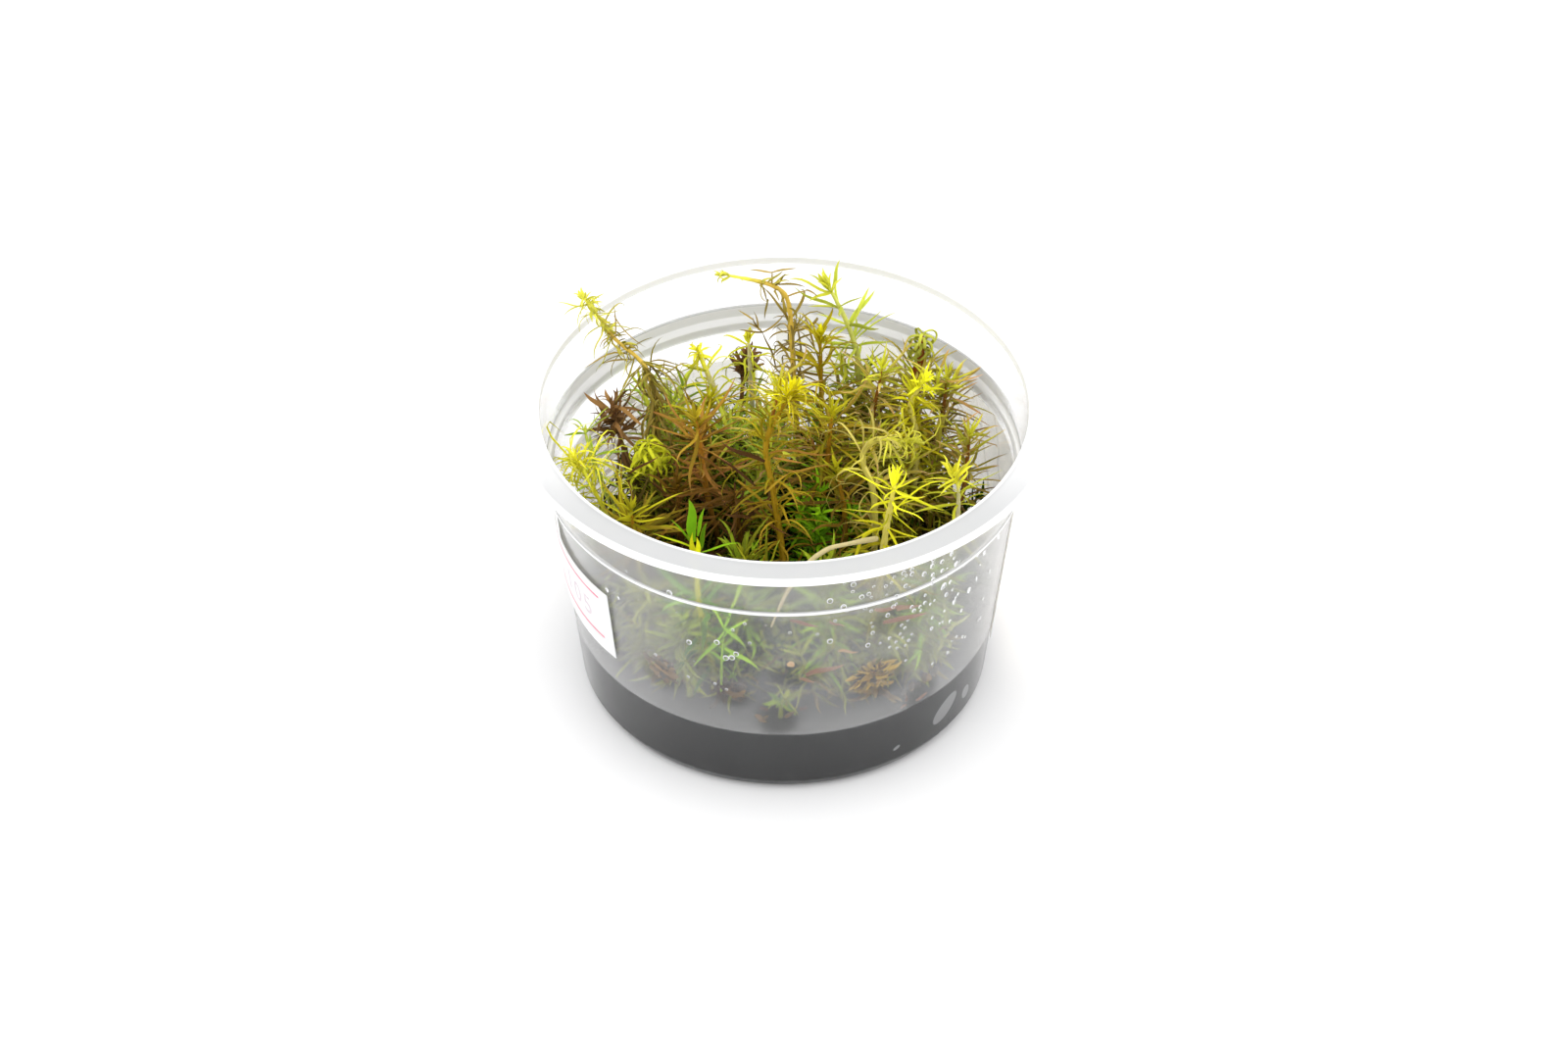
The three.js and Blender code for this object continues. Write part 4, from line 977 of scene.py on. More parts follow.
# Leaves that stick to the inside of the wall: azimuth and height of both ends, half width and bend
STUCK = (
    ((-88.5, 46.2), (-81.5, 44.2), 0.4, 30), ((-84.5, 31.3), (-74.5, 33.0), 0.6, 25),
    ((-79.0, 45.2), (-75.0, 43.2), 0.27, 60), ((-67.5, 46.0), (-57.5, 43.4), 0.48, -30),
    ((-65.0, 41.8), (-51.5, 39.4), 0.56, 25), ((-76.5, 36.8), (-71.0, 35.6), 0.32, -60),
    ((-61.5, 44.0), (-54.0, 42.5), 0.4, 20), ((-88.9, 34.9), (-87.6, 33.7), 0.7, 120),
    ((-86.0, 30.5), (-82.0, 29.2), 0.4, 40),
)
SHREDS = (
    ((-50.3, 22.6), (-49.0, 19.5), 0.9, 60), ((-54.8, 21.8), (-53.2, 19.4), 0.8, 40),
    ((-46.5, 22.8), (-45.4, 19.6), 0.9, -50), ((-52.6, 20.8), (-50.6, 19.3), 0.7, 50),
    ((-57.2, 20.6), (-55.5, 19.4), 0.7, 50), ((-48.6, 21.6), (-46.9, 19.4), 0.8, -60),
    ((-128.9, 28.8), (-124.2, 25.0), 0.6, 40), ((-127.5, 25.6), (-121.5, 23.6), 0.7, -40),
    ((-125.0, 28.4), (-121.0, 27.0), 0.5, 50), ((-123.0, 25.6), (-118.4, 24.0), 0.6, 40),
    ((-126.8, 27.4), (-120.4, 25.4), 0.6, 70), ((-105.0, 26.2), (-100.2, 24.6), 0.6, 50),
    ((-103.6, 24.4), (-99.8, 26.8), 0.5, -60), ((-97.6, 20.2), (-94.4, 18.4), 0.6, 50),
    ((-89.6, 19.8), (-87.0, 21.4), 0.6, -50), ((-96.4, 18.4), (-94.0, 20.4), 0.5, 60),
)


def make_stuck(template, table):
    """Leaves or shreds that lie against the inside of the wall."""
    random = np.random.default_rng(SEED + 8)
    leaves = Leaves(random, template)
    for start, end, width, bend in table:
        base, tip = on_wall(*start), on_wall(*end)
        leaves.add(base=base, tip=tip, up=level_of(base), bend=bend * 0.5, width=width,
                   age=random.uniform(0.0, 1.8), roll=random.normal(0, 12), late=1.0)
    return leaves.piece(NEEDLE_SHAPE, BLADE_DEPTH)


def make_fallen(template):
    """Curled dead leaves that lie on the gel."""
    random = np.random.default_rng(SEED + 7)
    leaves = Leaves(random, template)
    for x, y, length, heading, bend in FALLEN:
        heading = math.radians(heading)
        base = np.array([x, y, GEL_TOP + 0.6])
        aim = np.array([math.cos(heading), math.sin(heading), 0.12])
        leaves.add(base=base, tip=base + aim, up=(0.3, 0.4, 1.0), bend=bend, width=0.36, age=2.2,
                   roll=random.uniform(40, 90), length=length, late=1.1)
    return leaves.piece(NEEDLE_SHAPE, COIL_DEPTH)


# Materials

class Tree:
    """Short words for adding and joining shader nodes."""

    def __init__(self, tree):
        self.tree = tree

    def add(self, kind, settings=None, **inputs):
        node = self.tree.nodes.new(kind)
        for name, value in (settings or {}).items():
            setattr(node, name, value)
        for name, value in inputs.items():
            socket = node.inputs[int(name[1:])] if name[1:].isdigit() else node.inputs[name.replace("_", " ")]
            self.feed(socket, value)
        return node

    def feed(self, socket, value):
        if isinstance(value, bpy.types.NodeSocket):
            self.tree.links.new(value, socket)
        elif socket.type == "RGBA":
            socket.default_value = (*value, 1)
        else:
            socket.default_value = value

    def give(self, shader, inputs):
        for name, value in inputs.items():
            self.feed(shader.inputs[name], value)

    def where(self):
        """A place on the piece, in its own coordinates."""
        return self.add("ShaderNodeTexCoord").outputs["Object"]

    def split(self, vector):
        return self.add("ShaderNodeSeparateXYZ", Vector=vector).outputs

    def mask(self, value, low, high):
        """0 below low and 1 above high, with a smooth step between."""
        node = self.add("ShaderNodeMapRange", {"interpolation_type": "SMOOTHSTEP"},
                        Value=value, From_Min=low, From_Max=high)
        return node.outputs["Result"]

    def rise(self, value, low, high):
        """A mask whose ends are in millimetres."""
        return self.mask(value, low * MM, high * MM)

    def band(self, value, low, high, soft):
        """1 between two ends in millimetres, with soft edges inside them."""
        return self.times(self.rise(value, low, low + soft), self.rise(value, high, high - soft))

    def span(self, value, to_min, to_max, from_min=0.0, from_max=1.0):
        """A value moved from one range to another."""
        return self.add("ShaderNodeMapRange", Value=value, From_Min=from_min, From_Max=from_max,
                        To_Min=to_min, To_Max=to_max).outputs["Result"]

    def maths(self, operation, a, b=0.0, c=0.0):
        return self.add("ShaderNodeMath", {"operation": operation}, _0=a, _1=b, _2=c).outputs[0]

    def times(self, a, b):
        return self.maths("MULTIPLY", a, b)

    def plus(self, a, b):
        return self.maths("ADD", a, b)

    def less(self, a, b):
        return self.maths("SUBTRACT", a, b)

    def most(self, a, b):
        return self.maths("MAXIMUM", a, b)

    def reach(self, a, b):
        """The length of two sides that are square to each other."""
        return self.maths("SQRT", self.plus(self.times(a, a), self.times(b, b)))

    def azimuth(self, x, y):
        return self.times(self.maths("ARCTAN2", y, x), 180 / math.pi)

    def pick(self, share, a, b):
        """A number between two."""
        return self.add("ShaderNodeMix", {"data_type": "FLOAT"}, _0=share, _2=a, _3=b).outputs[0]

    def mix(self, share, a, b, blend="MIX"):
        """A colour between two, or the first one times the second."""
        node = self.add("ShaderNodeMix", {"data_type": "RGBA", "blend_type": blend})
        self.feed(node.inputs["Factor"], share)
        self.feed(node.inputs[6], a)
        self.feed(node.inputs[7], b)
        return node.outputs[2]

    def noise(self, scale, detail, roughness=0.5, *, vector):
        node = self.add("ShaderNodeTexNoise", Vector=vector, Scale=scale, Detail=detail, Roughness=roughness)
        return node.outputs["Fac"]

    def bump(self, strength, distance, height):
        node = self.add("ShaderNodeBump", Strength=strength, Distance=distance, Height=height)
        return node.outputs["Normal"]


def new_group(name, inputs, outputs):
    """An empty node group with the named sockets, as a tree with its ends."""
    group = bpy.data.node_groups.new(name, "ShaderNodeTree")
    for label, kind, default in inputs:
        socket = group.interface.new_socket(label, in_out="INPUT", socket_type=kind)
        socket.default_value = default
    for label, kind in outputs:
        group.interface.new_socket(label, in_out="OUTPUT", socket_type=kind)
    tree = Tree(group)
    start = group.nodes.new("NodeGroupInput")
    end = group.nodes.new("NodeGroupOutput")
    return tree, start.outputs, end.inputs


def leaf_group():
    """Colour of a leaf or stem from its age, its place along the leaf and its luck, with painted shade low
    down and painted patches of light and shade.
    """
    name = "Leaf tissue"
    if name in bpy.data.node_groups:
        return bpy.data.node_groups[name]
    grey = (0.5, 0.5, 0.5, 1)
    tree, given, out = new_group(name, [
        ("Young", "NodeSocketColor", grey), ("Grown", "NodeSocketColor", grey),
        ("Old", "NodeSocketColor", grey), ("Tip", "NodeSocketColor", grey),
        ("Stem", "NodeSocketColor", grey), ("Tip Share", "NodeSocketFloat", 0.3),
        ("Painted Depth Shade", "NodeSocketFloat", 0.0), ("Painted Light Patches", "NodeSocketFloat", 0.0),
    ], [("Color", "NodeSocketColor"), ("Roughness", "NodeSocketFloat"), ("Height", "NodeSocketFloat")])
    read = {m: tree.add("ShaderNodeAttribute", {"attribute_name": m}).outputs["Fac"] for m in Growth.MEASURES}
    where = tree.where()
    blotch = tree.noise(260.0, 3.0, vector=where)
    fine = tree.noise(1400.0, 4.0, 0.6, vector=where)

    # Colour by age, by place along the leaf, and on the stem
    luck = tree.maths("MULTIPLY_ADD", read["chance"], 0.8, -0.4)
    uneven = tree.maths("MULTIPLY_ADD", blotch, 0.5, -0.25)
    age = tree.plus(tree.plus(read["age"], luck), uneven)
    colour = tree.mix(tree.mask(age, 0.25, 1.1), given["Young"], given["Grown"])
    colour = tree.mix(tree.mask(age, 1.0, 1.9), colour, given["Old"])
    tip = tree.times(tree.mask(read["along"], 0.55, 1.0), given["Tip Share"])
    colour = tree.mix(tree.times(tip, tree.mask(age, 0.3, 0.9)), colour, given["Tip"])
    stem = tree.mix(tree.mask(age, 0.1, 0.9), colour, given["Stem"])
    colour = tree.mix(read["stem"], colour, stem)

    # How bright each leaf is: a random tone, painted shade that darkens leaves low down, and painted patches
    # of light and shade at the front
    lot = tree.maths("FRACT", tree.times(read["chance"], 7.31))
    bright = tree.pick(read["stem"], tree.span(lot, 0.62, 1.38), 1.15)
    bright = tree.times(bright, tree.span(fine, 0.8, 1.2))
    _, y, z = tree.split(where)
    # Painted shade: leaves darken towards the bottom of the cup, for the shade among the plants
    depth = tree.maths("MULTIPLY_ADD", tree.noise(90.0, 2.0, vector=where), 20 * MM, z)
    light = tree.pick(given["Painted Depth Shade"], 1.0, tree.span(depth, 0.12, 1.08, 35 * MM, 64 * MM))
    # Painted light and shade: lighter and darker patches over the front leaves
    patch = tree.times(tree.mask(tree.noise(75.0, 1.0, vector=where), 0.5, 0.62), tree.rise(y, -20, -5))
    patch = tree.pick(given["Painted Light Patches"], 1.0, tree.span(patch, 0.4, 1.7))
    bright = tree.times(bright, tree.times(light, patch))
    tree.feed(out["Color"], tree.mix(1.0, colour, bright, "MULTIPLY"))
    tree.feed(out["Roughness"], tree.span(blotch, 0.42, 0.65))
    tree.feed(out["Height"], tree.maths("MULTIPLY_ADD", read["ridge"], 0.4, fine))
    return bpy.data.node_groups[name]


def new_material(name):
    material = bpy.data.materials.new(name)
    material.use_nodes = True
    tree = Tree(material.node_tree)
    shader = next(n for n in material.node_tree.nodes if n.type == "BSDF_PRINCIPLED")
    return material, tree, shader


def leaf_material(kind):
    """The finish of one kind of leaf and its stem."""
    look = TISSUES[kind]
    material, tree, shader = new_material("Leaf " + kind)
    node = tree.add("ShaderNodeGroup", {"node_tree": leaf_group()})
    tree.give(node, dict(zip(("Young", "Grown", "Old", "Tip", "Stem"), look["colours"])))
    tree.give(node, {"Tip Share": look["tip_share"], "Painted Depth Shade": look["painted_depth_shade"], "Painted Light Patches": look["painted_light_patches"]})
    tree.give(shader, {
        "Base Color": node.outputs["Color"],
        "Roughness": node.outputs["Roughness"],
        "Normal": tree.bump(0.35, 0.1 * MM, node.outputs["Height"]),
        "Subsurface Weight": look["glow"],
        "Subsurface Radius": (1.0, 1.0, 0.7),
        "Subsurface Scale": 0.6 * MM,
        "Specular IOR Level": 0.07,
    })
    return material


# Depth shade is painted shade on leaves low down, and light patches are painted light and shade
def tissue(slot, *colours, tip_share=0.35, glow=0.2, painted_depth_shade=0.0, painted_light_patches=0.0):
    return dict(slot=slot, colours=colours, tip_share=tip_share, glow=glow, painted_depth_shade=painted_depth_shade, painted_light_patches=painted_light_patches)


# The slot of each kind of leaf and its colours, which are the young, the grown, the old, the
# tip's and the stem's. Tip share is how strong the tip's colour is, glow how much light gets into
# the leaf, depth shade how much painted shade darkens the leaves low down, and light patches how
# much painted light and shade lies on them.
TISSUES = {
    "wiry": tissue("leaf_olive", (0.74, 0.72, 0.08), (0.28, 0.22, 0.03), (0.34, 0.24, 0.05),
                   (0.11, 0.10, 0.035), (0.66, 0.46, 0.08), tip_share=0.6),
    "lime": tissue("leaf_yellow", (0.78, 0.80, 0.03), (0.48, 0.54, 0.008), (0.26, 0.30, 0.008),
                   (0.30, 0.30, 0.02), (0.34, 0.32, 0.03), glow=0.35, painted_depth_shade=0.5),
    "starry": tissue("leaf_yellow", (0.90, 0.82, 0.01), (0.39, 0.31, 0.008), (0.27, 0.17, 0.008),
                     (0.34, 0.18, 0.03), (0.28, 0.17, 0.006), glow=0.3, painted_depth_shade=0.6),
    "yellow": tissue("leaf_yellow", (0.82, 0.80, 0.02), (0.46, 0.42, 0.008), (0.26, 0.15, 0.008),
                     (0.26, 0.17, 0.03), (0.55, 0.48, 0.10), glow=0.35, painted_depth_shade=0.85),
    "pale": tissue("leaf_yellow", (0.94, 0.88, 0.05), (0.56, 0.58, 0.03), (0.26, 0.24, 0.02),
                   (0.26, 0.22, 0.03), (0.68, 0.62, 0.36), glow=0.35, painted_depth_shade=0.4),
    "limp": tissue("leaf_yellow", (0.62, 0.60, 0.05), (0.50, 0.42, 0.09), (0.27, 0.20, 0.03),
                   (0.34, 0.26, 0.06), (0.44, 0.38, 0.07), painted_depth_shade=0.6),
    "olive": tissue("leaf_olive", (0.50, 0.46, 0.012), (0.32, 0.225, 0.012), (0.27, 0.12, 0.02),
                    (0.36, 0.12, 0.05), (0.46, 0.24, 0.015), painted_depth_shade=1),
    "red": tissue("leaf_red", (0.38, 0.29, 0.012), (0.34, 0.185, 0.02), (0.34, 0.13, 0.04),
                  (0.44, 0.15, 0.08), (0.42, 0.19, 0.02), tip_share=0.5, painted_depth_shade=1),
    # Painted light in part: the back leaves are paler than the olive ones, for the bright light from behind
    # them
    "back": tissue("leaf_olive", (0.58, 0.60, 0.03), (0.51, 0.41, 0.06), (0.47, 0.28, 0.09),
                   (0.64, 0.27, 0.15), (0.28, 0.12, 0.02), tip_share=0.6, glow=0.6, painted_depth_shade=0.8),
    "spent": tissue("leaf_red", (0.42, 0.44, 0.05), (0.44, 0.38, 0.05), (0.43, 0.27, 0.07),
                    (0.62, 0.36, 0.15), (0.26, 0.075, 0.012), tip_share=0.5, glow=0.5, painted_depth_shade=0.6),
    "airy": tissue("leaf_green", (0.74, 0.74, 0.06), (0.50, 0.56, 0.06), (0.36, 0.42, 0.035),
                   (0.42, 0.40, 0.08), (0.56, 0.58, 0.14), glow=0.6, painted_depth_shade=0.1),
    "shady": tissue("leaf_olive", (0.26, 0.26, 0.01), (0.20, 0.20, 0.008), (0.46, 0.80, 0.03),
                    (0.40, 0.55, 0.03), (0.36, 0.40, 0.05), glow=0.4),
    "green": tissue("leaf_green", (0.50, 0.56, 0.02), (0.19, 0.36, 0.02), (0.11, 0.22, 0.01),
                    (0.09, 0.17, 0.008), (0.36, 0.40, 0.03), glow=0.35),
    "fresh": tissue("leaf_green", (0.66, 0.72, 0.06), (0.38, 0.56, 0.05), (0.26, 0.40, 0.03),
                    (0.30, 0.34, 0.05), (0.50, 0.58, 0.12), glow=0.5),
    "dead": tissue("leaf_dead", (0.38, 0.21, 0.07), (0.27, 0.14, 0.045), (0.13, 0.06, 0.022),
                   (0.12, 0.055, 0.025), (0.24, 0.12, 0.05), glow=0.05),
    "frayed": tissue("leaf_dead", (0.58, 0.38, 0.04), (0.27, 0.14, 0.01), (0.04, 0.016, 0.002),
                     (0.66, 0.47, 0.09), (0.10, 0.05, 0.01), tip_share=0.5),
    "misty": tissue("leaf_green", (0.40, 0.44, 0.05), (0.30, 0.32, 0.04), (0.24, 0.16, 0.03),
                    (0.30, 0.20, 0.06), (0.20, 0.18, 0.04)),
    "hollow": tissue("leaf_green", (0.30, 0.60, 0.01), (0.16, 0.38, 0.008), (0.05, 0.10, 0.004),
                     (0.10, 0.20, 0.006), (0.06, 0.10, 0.006)),
    "brown": tissue("leaf_dead", (0.30, 0.16, 0.03), (0.13, 0.065, 0.01), (0.03, 0.014, 0.003),
                    (0.40, 0.24, 0.05), (0.05, 0.025, 0.006), tip_share=0.4),
    "sooty": tissue("leaf_dead", (0.11, 0.055, 0.02), (0.05, 0.025, 0.01), (0.015, 0.008, 0.004),
                    (0.14, 0.08, 0.03), (0.03, 0.015, 0.006)),
    "dull": tissue("leaf_green", (0.46, 0.60, 0.04), (0.36, 0.44, 0.03), (0.30, 0.30, 0.03),
                   (0.30, 0.26, 0.05), (0.44, 0.50, 0.08)),
    "gloom": tissue("leaf_olive", (0.16, 0.17, 0.01), (0.12, 0.085, 0.012), (0.05, 0.03, 0.008),
                    (0.20, 0.12, 0.03), (0.08, 0.05, 0.01)),
    "lush": tissue("leaf_green", (0.84, 0.82, 0.01), (0.16, 0.38, 0.004), (0.10, 0.22, 0.004),
                   (0.14, 0.26, 0.006), (0.62, 0.60, 0.02), glow=0.3),
    "umber": tissue("leaf_red", (0.17, 0.09, 0.005), (0.11, 0.05, 0.005), (0.07, 0.028, 0.004),
                    (0.26, 0.09, 0.04), (0.15, 0.07, 0.008), painted_depth_shade=0.9),
    "moss": tissue("leaf_green", (0.15, 0.34, 0.006), (0.09, 0.20, 0.005), (0.04, 0.05, 0.004),
                   (0.05, 0.07, 0.005), (0.05, 0.07, 0.006), glow=0.1, painted_depth_shade=0.6, painted_light_patches=1),
    "fallen": tissue("leaf_red", (0.62, 0.38, 0.16), (0.40, 0.18, 0.06), (0.22, 0.08, 0.03),
                     (0.55, 0.28, 0.12), (0.3, 0.1, 0.05)),
    "runner": tissue("leaf_yellow", (0.6, 0.5, 0.25), (0.5, 0.42, 0.2), (0.3, 0.22, 0.08),
                     (0.3, 0.22, 0.08), (0.52, 0.44, 0.22)),
}


def cup_material():
    """Clear plastic with a faint orange-peel skin, darkened towards its foot by painted shade."""
    settings = bpy.context.scene.culture_cup
    material, tree, shader = new_material("Clear plastic")
    where = tree.where()
    cloud = tree.noise(60.0, 3.0, vector=where)
    skin = tree.mix(cloud, tuple(settings.tint), tuple(0.985 * c for c in settings.tint))
    # Painted shade: the plastic turns dark grey towards its foot, where the cup stands on the floor
    foot = tree.rise(tree.split(where)["Z"], 3.2, 1.2)
    tree.give(shader, {
        "Base Color": tree.mix(foot, skin, (0.3, 0.305, 0.31)),
        "Roughness": tree.span(cloud, settings.haze * 0.5, settings.haze * 1.5),
        "Normal": tree.bump(0.05, 0.05 * MM, tree.noise(350.0, 2.0, vector=where)),
    })
    shader.inputs["Transmission Weight"].default_value = 1.0
    shader.inputs["IOR"].default_value = 1.49
    return material


# Where plants touch the wall and keep the mist off it: azimuth and height, and half of each
TOUCHES = (
    ((-124, 26), (7, 4.6)), ((-103.5, 25.6), (5.5, 3.4)), ((-65, 28), (9, 5.6)), ((-105, 40), (12, 13)),
    ((-91.5, 20), (6.5, 5.5)), ((-51, 18), (6, 5)), ((-86, 32), (8, 3.5)), ((-60, 43), (12, 5)),
)


def bloom_and_light_material():
    """The milk in the plastic: thick in the flange and the ledge, thin and cloudy on the wall.
    Painted highlights whiten the flange's edges and the ledge, painted shade greys the near half of the
    flange top, and painted light whitens its far half.
    """
    settings = bpy.context.scene.culture_cup
    material, tree, shader = new_material("Milky bloom and painted light")
    where = tree.where()
    x, y, z = tree.split(where)
    radius = tree.reach(x, y)
    front = tree.rise(y, 10, -8)
    near_flange_shade = tree.rise(y, -12, -34)
    # Painted light: the far half of the flange is made opaque and white, as if lit from behind
    back = tree.rise(y, 10, 30)

    # The flange: its milk is thickest along its skirt and its lip, whose white is partly a painted highlight,
    # and its far half is made near-opaque white, painted light from behind
    flange = tree.rise(z, UNDER_FLANGE - 0.55, UNDER_FLANGE - 0.25)
    skirt = tree.rise(radius, FLANGE_RADIUS - 0.75, FLANGE_RADIUS - 0.45)
    lip = tree.rise(radius, MOUTH_RADIUS + 0.75, MOUTH_RADIUS + 0.35)
    edge = tree.most(skirt, lip)
    rim = tree.plus(tree.times(tree.most(edge, back), 0.26), 0.7)

    # The ledge, milky and whitened by a painted highlight, and a wider blurred band of painted highlight
    # behind it
    ledge = tree.band(z, LEDGE_HEIGHT + 0.1, BAND_HEIGHT + 0.9, 0.25)
    ledge = tree.times(ledge, tree.most(front, 0.8))
    behind = tree.times(tree.rise(y, 5, 25), tree.band(z, LEDGE_HEIGHT - 1.7, BAND_HEIGHT + 2.6, 0.5))
    ledge = tree.most(ledge, tree.times(behind, 0.9))

    # The wall's thin cloud, with more mist just above the gel and little where plants touch
    cloud = tree.noise(55.0, 4.0, 0.6, vector=where)
    thin = tree.span(cloud, settings.milk * 0.75, settings.milk * 1.25, 0.3, 0.7)
    thin = tree.plus(thin, tree.times(tree.rise(z, GEL_TOP + 9, GEL_TOP + 1), 0.07))
    azimuth = tree.azimuth(x, y)
    for (angle, height), (wide, high) in TOUCHES:
        across = tree.times(tree.less(azimuth, angle), 1 / wide)
        upward = tree.times(tree.less(z, height * MM), 1 / (high * MM))
        reach = tree.plus(tree.reach(across, upward), tree.times(cloud, 0.8))
        thin = tree.times(thin, tree.less(1.0, tree.times(tree.mask(reach, 1.6, 0.9), 0.8)))
    thin = tree.times(thin, tree.most(front, 0.15))

    alpha = tree.most(tree.most(thin, tree.times(ledge, 0.86)), tree.times(flange, rim))
    above_gel = tree.rise(z, GEL_TOP - 0.1, GEL_TOP + 0.3)
    # Painted highlight: the ledge and the flange's skirt and lip are whitened
    white = tree.most(ledge, tree.times(flange, edge))
    # Painted shade: the flange top is greyer on its near half
    colour = tree.mix(tree.times(flange, near_flange_shade), (0.93, 0.932, 0.935), (0.68, 0.685, 0.69))
    tree.give(shader, {
        "Base Color": tree.mix(white, colour, (0.94, 0.942, 0.945)),
        "Alpha": tree.times(alpha, above_gel),
        "Roughness": tree.span(cloud, 0.35, 0.55),
        "Specular IOR Level": 0.1,
    })
    return material


# Where air keeps the gel off the wall: centre, half lengths along the wall and up it, tilt in degrees
AIR_PATCHES = (
    ((30.6, -25.2, 8.4), (3.8, 2.2), 38), ((34.6, -19.1, 7.2), (1.3, 1.8), 20),
    ((21.3, -33.0, 5.3), (0.8, 0.45), 30),
)
AIR_DEPTH = 6


def gel_material():
    """Dark moist gel, paler where air keeps it off the wall."""
    material, tree, shader = new_material("Charcoal gel")
    where = tree.where()
    cloud = tree.noise(110.0, 2.0, vector=where)
    colour = tree.mix(cloud, (0.025, 0.026, 0.027), (0.037, 0.038, 0.040))
    for (px, py, pz), (wide, high), tilt in AIR_PATCHES:
        place = tree.add("ShaderNodeVectorMath", {"operation": "SUBTRACT"}, _0=where,
                         _1=(px * MM, py * MM, pz * MM)).outputs[0]
        for axis, angle in (("Z_AXIS", -math.atan2(py, px) - math.pi / 2), ("Y_AXIS", math.radians(tilt))):
            place = tree.add("ShaderNodeVectorRotate", {"rotation_type": axis}, Vector=place,
                             Angle=angle).outputs[0]
        scaled = tree.add("ShaderNodeVectorMath", {"operation": "MULTIPLY"}, _0=place,
                          _1=(1 / (wide * MM), 1 / (AIR_DEPTH * MM), 1 / (high * MM))).outputs[0]
        reach = tree.add("ShaderNodeVectorMath", {"operation": "LENGTH"}, _0=scaled).outputs["Value"]
        colour = tree.mix(tree.mask(reach, 1.06, 0.94), colour, (0.40, 0.405, 0.41))
    tree.give(shader, {
        "Base Color": colour,
        "Roughness": tree.span(cloud, 0.36, 0.46),
        "Normal": tree.bump(0.15, 0.3 * MM, tree.noise(90.0, 1.0, vector=where)),
        "Specular IOR Level": 0.2,
    })
    return material


def printed_lines(tree, paper, azimuth, z):
    """Rows of broken grey strokes on the paper."""
    rows = tree.times(z, 1 / (2.3 * MM))
    across = tree.maths("FRACT", rows)
    stroke = tree.times(tree.mask(across, 0.15, 0.3), tree.mask(across, 0.85, 0.7))
    place = tree.add("ShaderNodeCombineXYZ", X=tree.times(azimuth, 0.16),
                     Y=tree.times(tree.maths("FLOOR", rows), 7.7)).outputs[0]
    broken = tree.mask(tree.noise(1.0, 1.0, vector=place), 0.36, 0.46)
    field = tree.times(tree.mask(azimuth, 112, 120), tree.mask(azimuth, 157, 152))
    ink = tree.times(tree.times(stroke, broken), field)
    return tree.mix(tree.times(ink, 0.85), paper, (0.09, 0.085, 0.085))


def crease_shade(tree, paper, azimuth, z, where):
    """Painted shade along soft slanting folds in the paper, each through an azimuth at a height."""
    wave = tree.times(tree.noise(150.0, 2.0, vector=where), 7.0)
    for place, height in ((24.9, 36.1), (13.6, 35.5), (39.0, 40.0), (55.0, 40.0)):
        slant = tree.times(tree.less(z, height * MM), 0.86 / MM)
        offset = tree.less(tree.less(azimuth, slant), place - 3.5)
        away = tree.maths("ABSOLUTE", tree.less(offset, wave))
        # Painted shade: the paper darkens along each fold
        paper = tree.mix(tree.times(tree.mask(away, 1.3, 0.1), 0.6), paper, (0.42, 0.39, 0.36))
    return paper


def paper_material(marks):
    """Label paper. Marks are printed lines, painted shade along creases, or None."""
    material, tree, shader = new_material("Label paper" + (" with " + marks if marks else ""))
    where = tree.where()
    fibre = tree.noise(1200.0, 5.0, 0.65, vector=where)
    cloud = tree.noise(70.0, 3.0, vector=where)
    x, y, z = tree.split(where)
    azimuth = tree.azimuth(x, y)
    if marks:
        colour = tree.mix(cloud, (1.0, 0.92, 0.79), (0.96, 0.87, 0.73))
    else:
        colour = tree.mix(cloud, (0.97, 0.965, 0.96), (0.94, 0.935, 0.93))
    if marks == "lines":
        colour = printed_lines(tree, colour, azimuth, z)
    if marks == "crease_shade":
        colour = crease_shade(tree, colour, azimuth, z, where)
    tree.give(shader, {
        "Base Color": colour,
        "Roughness": tree.span(fibre, 0.55, 0.85),
        "Normal": tree.bump(0.2, 0.08 * MM, fibre),
        "Subsurface Weight": 1.0 if marks else 0.5,
        "Subsurface Radius": (1.0, 0.95, 0.85),
        "Subsurface Scale": 2 * MM,
    })
    return material


def cloudy_material(name, scale, detail, one, other, rough):
    """A plain material that drifts between two colours and two values of roughness."""
    material, tree, shader = new_material(name)
    cloud = tree.noise(scale, detail, vector=tree.where())
    tree.give(shader, {"Base Color": tree.mix(cloud, one, other), "Roughness": tree.span(cloud, *rough)})
    return material, shader


def ink_material(name, ink):
    """Printing ink that is a little uneven."""
    pale = tuple(0.6 * c + 0.4 for c in ink)
    return cloudy_material(name, 900.0, 3.0, ink, pale, (0.5, 0.7))[0]


def droplet_material():
    """Clear water."""
    material, shader = cloudy_material(
        "Water droplets", 300.0, 2.0, (1, 1, 1), (0.97, 0.98, 0.99), (0.0, 0.02))
    shader.inputs["Transmission Weight"].default_value = 1.0
    shader.inputs["IOR"].default_value = 1.33
    return material


def rim_highlight_material():
    """A white ring on a drop's edge, a painted highlight."""
    return cloudy_material("Droplet highlight ring", 500.0, 2.0, (1, 1, 1), (0.8, 0.81, 0.82), (0.2, 0.4))[0]


# The cup and the gel

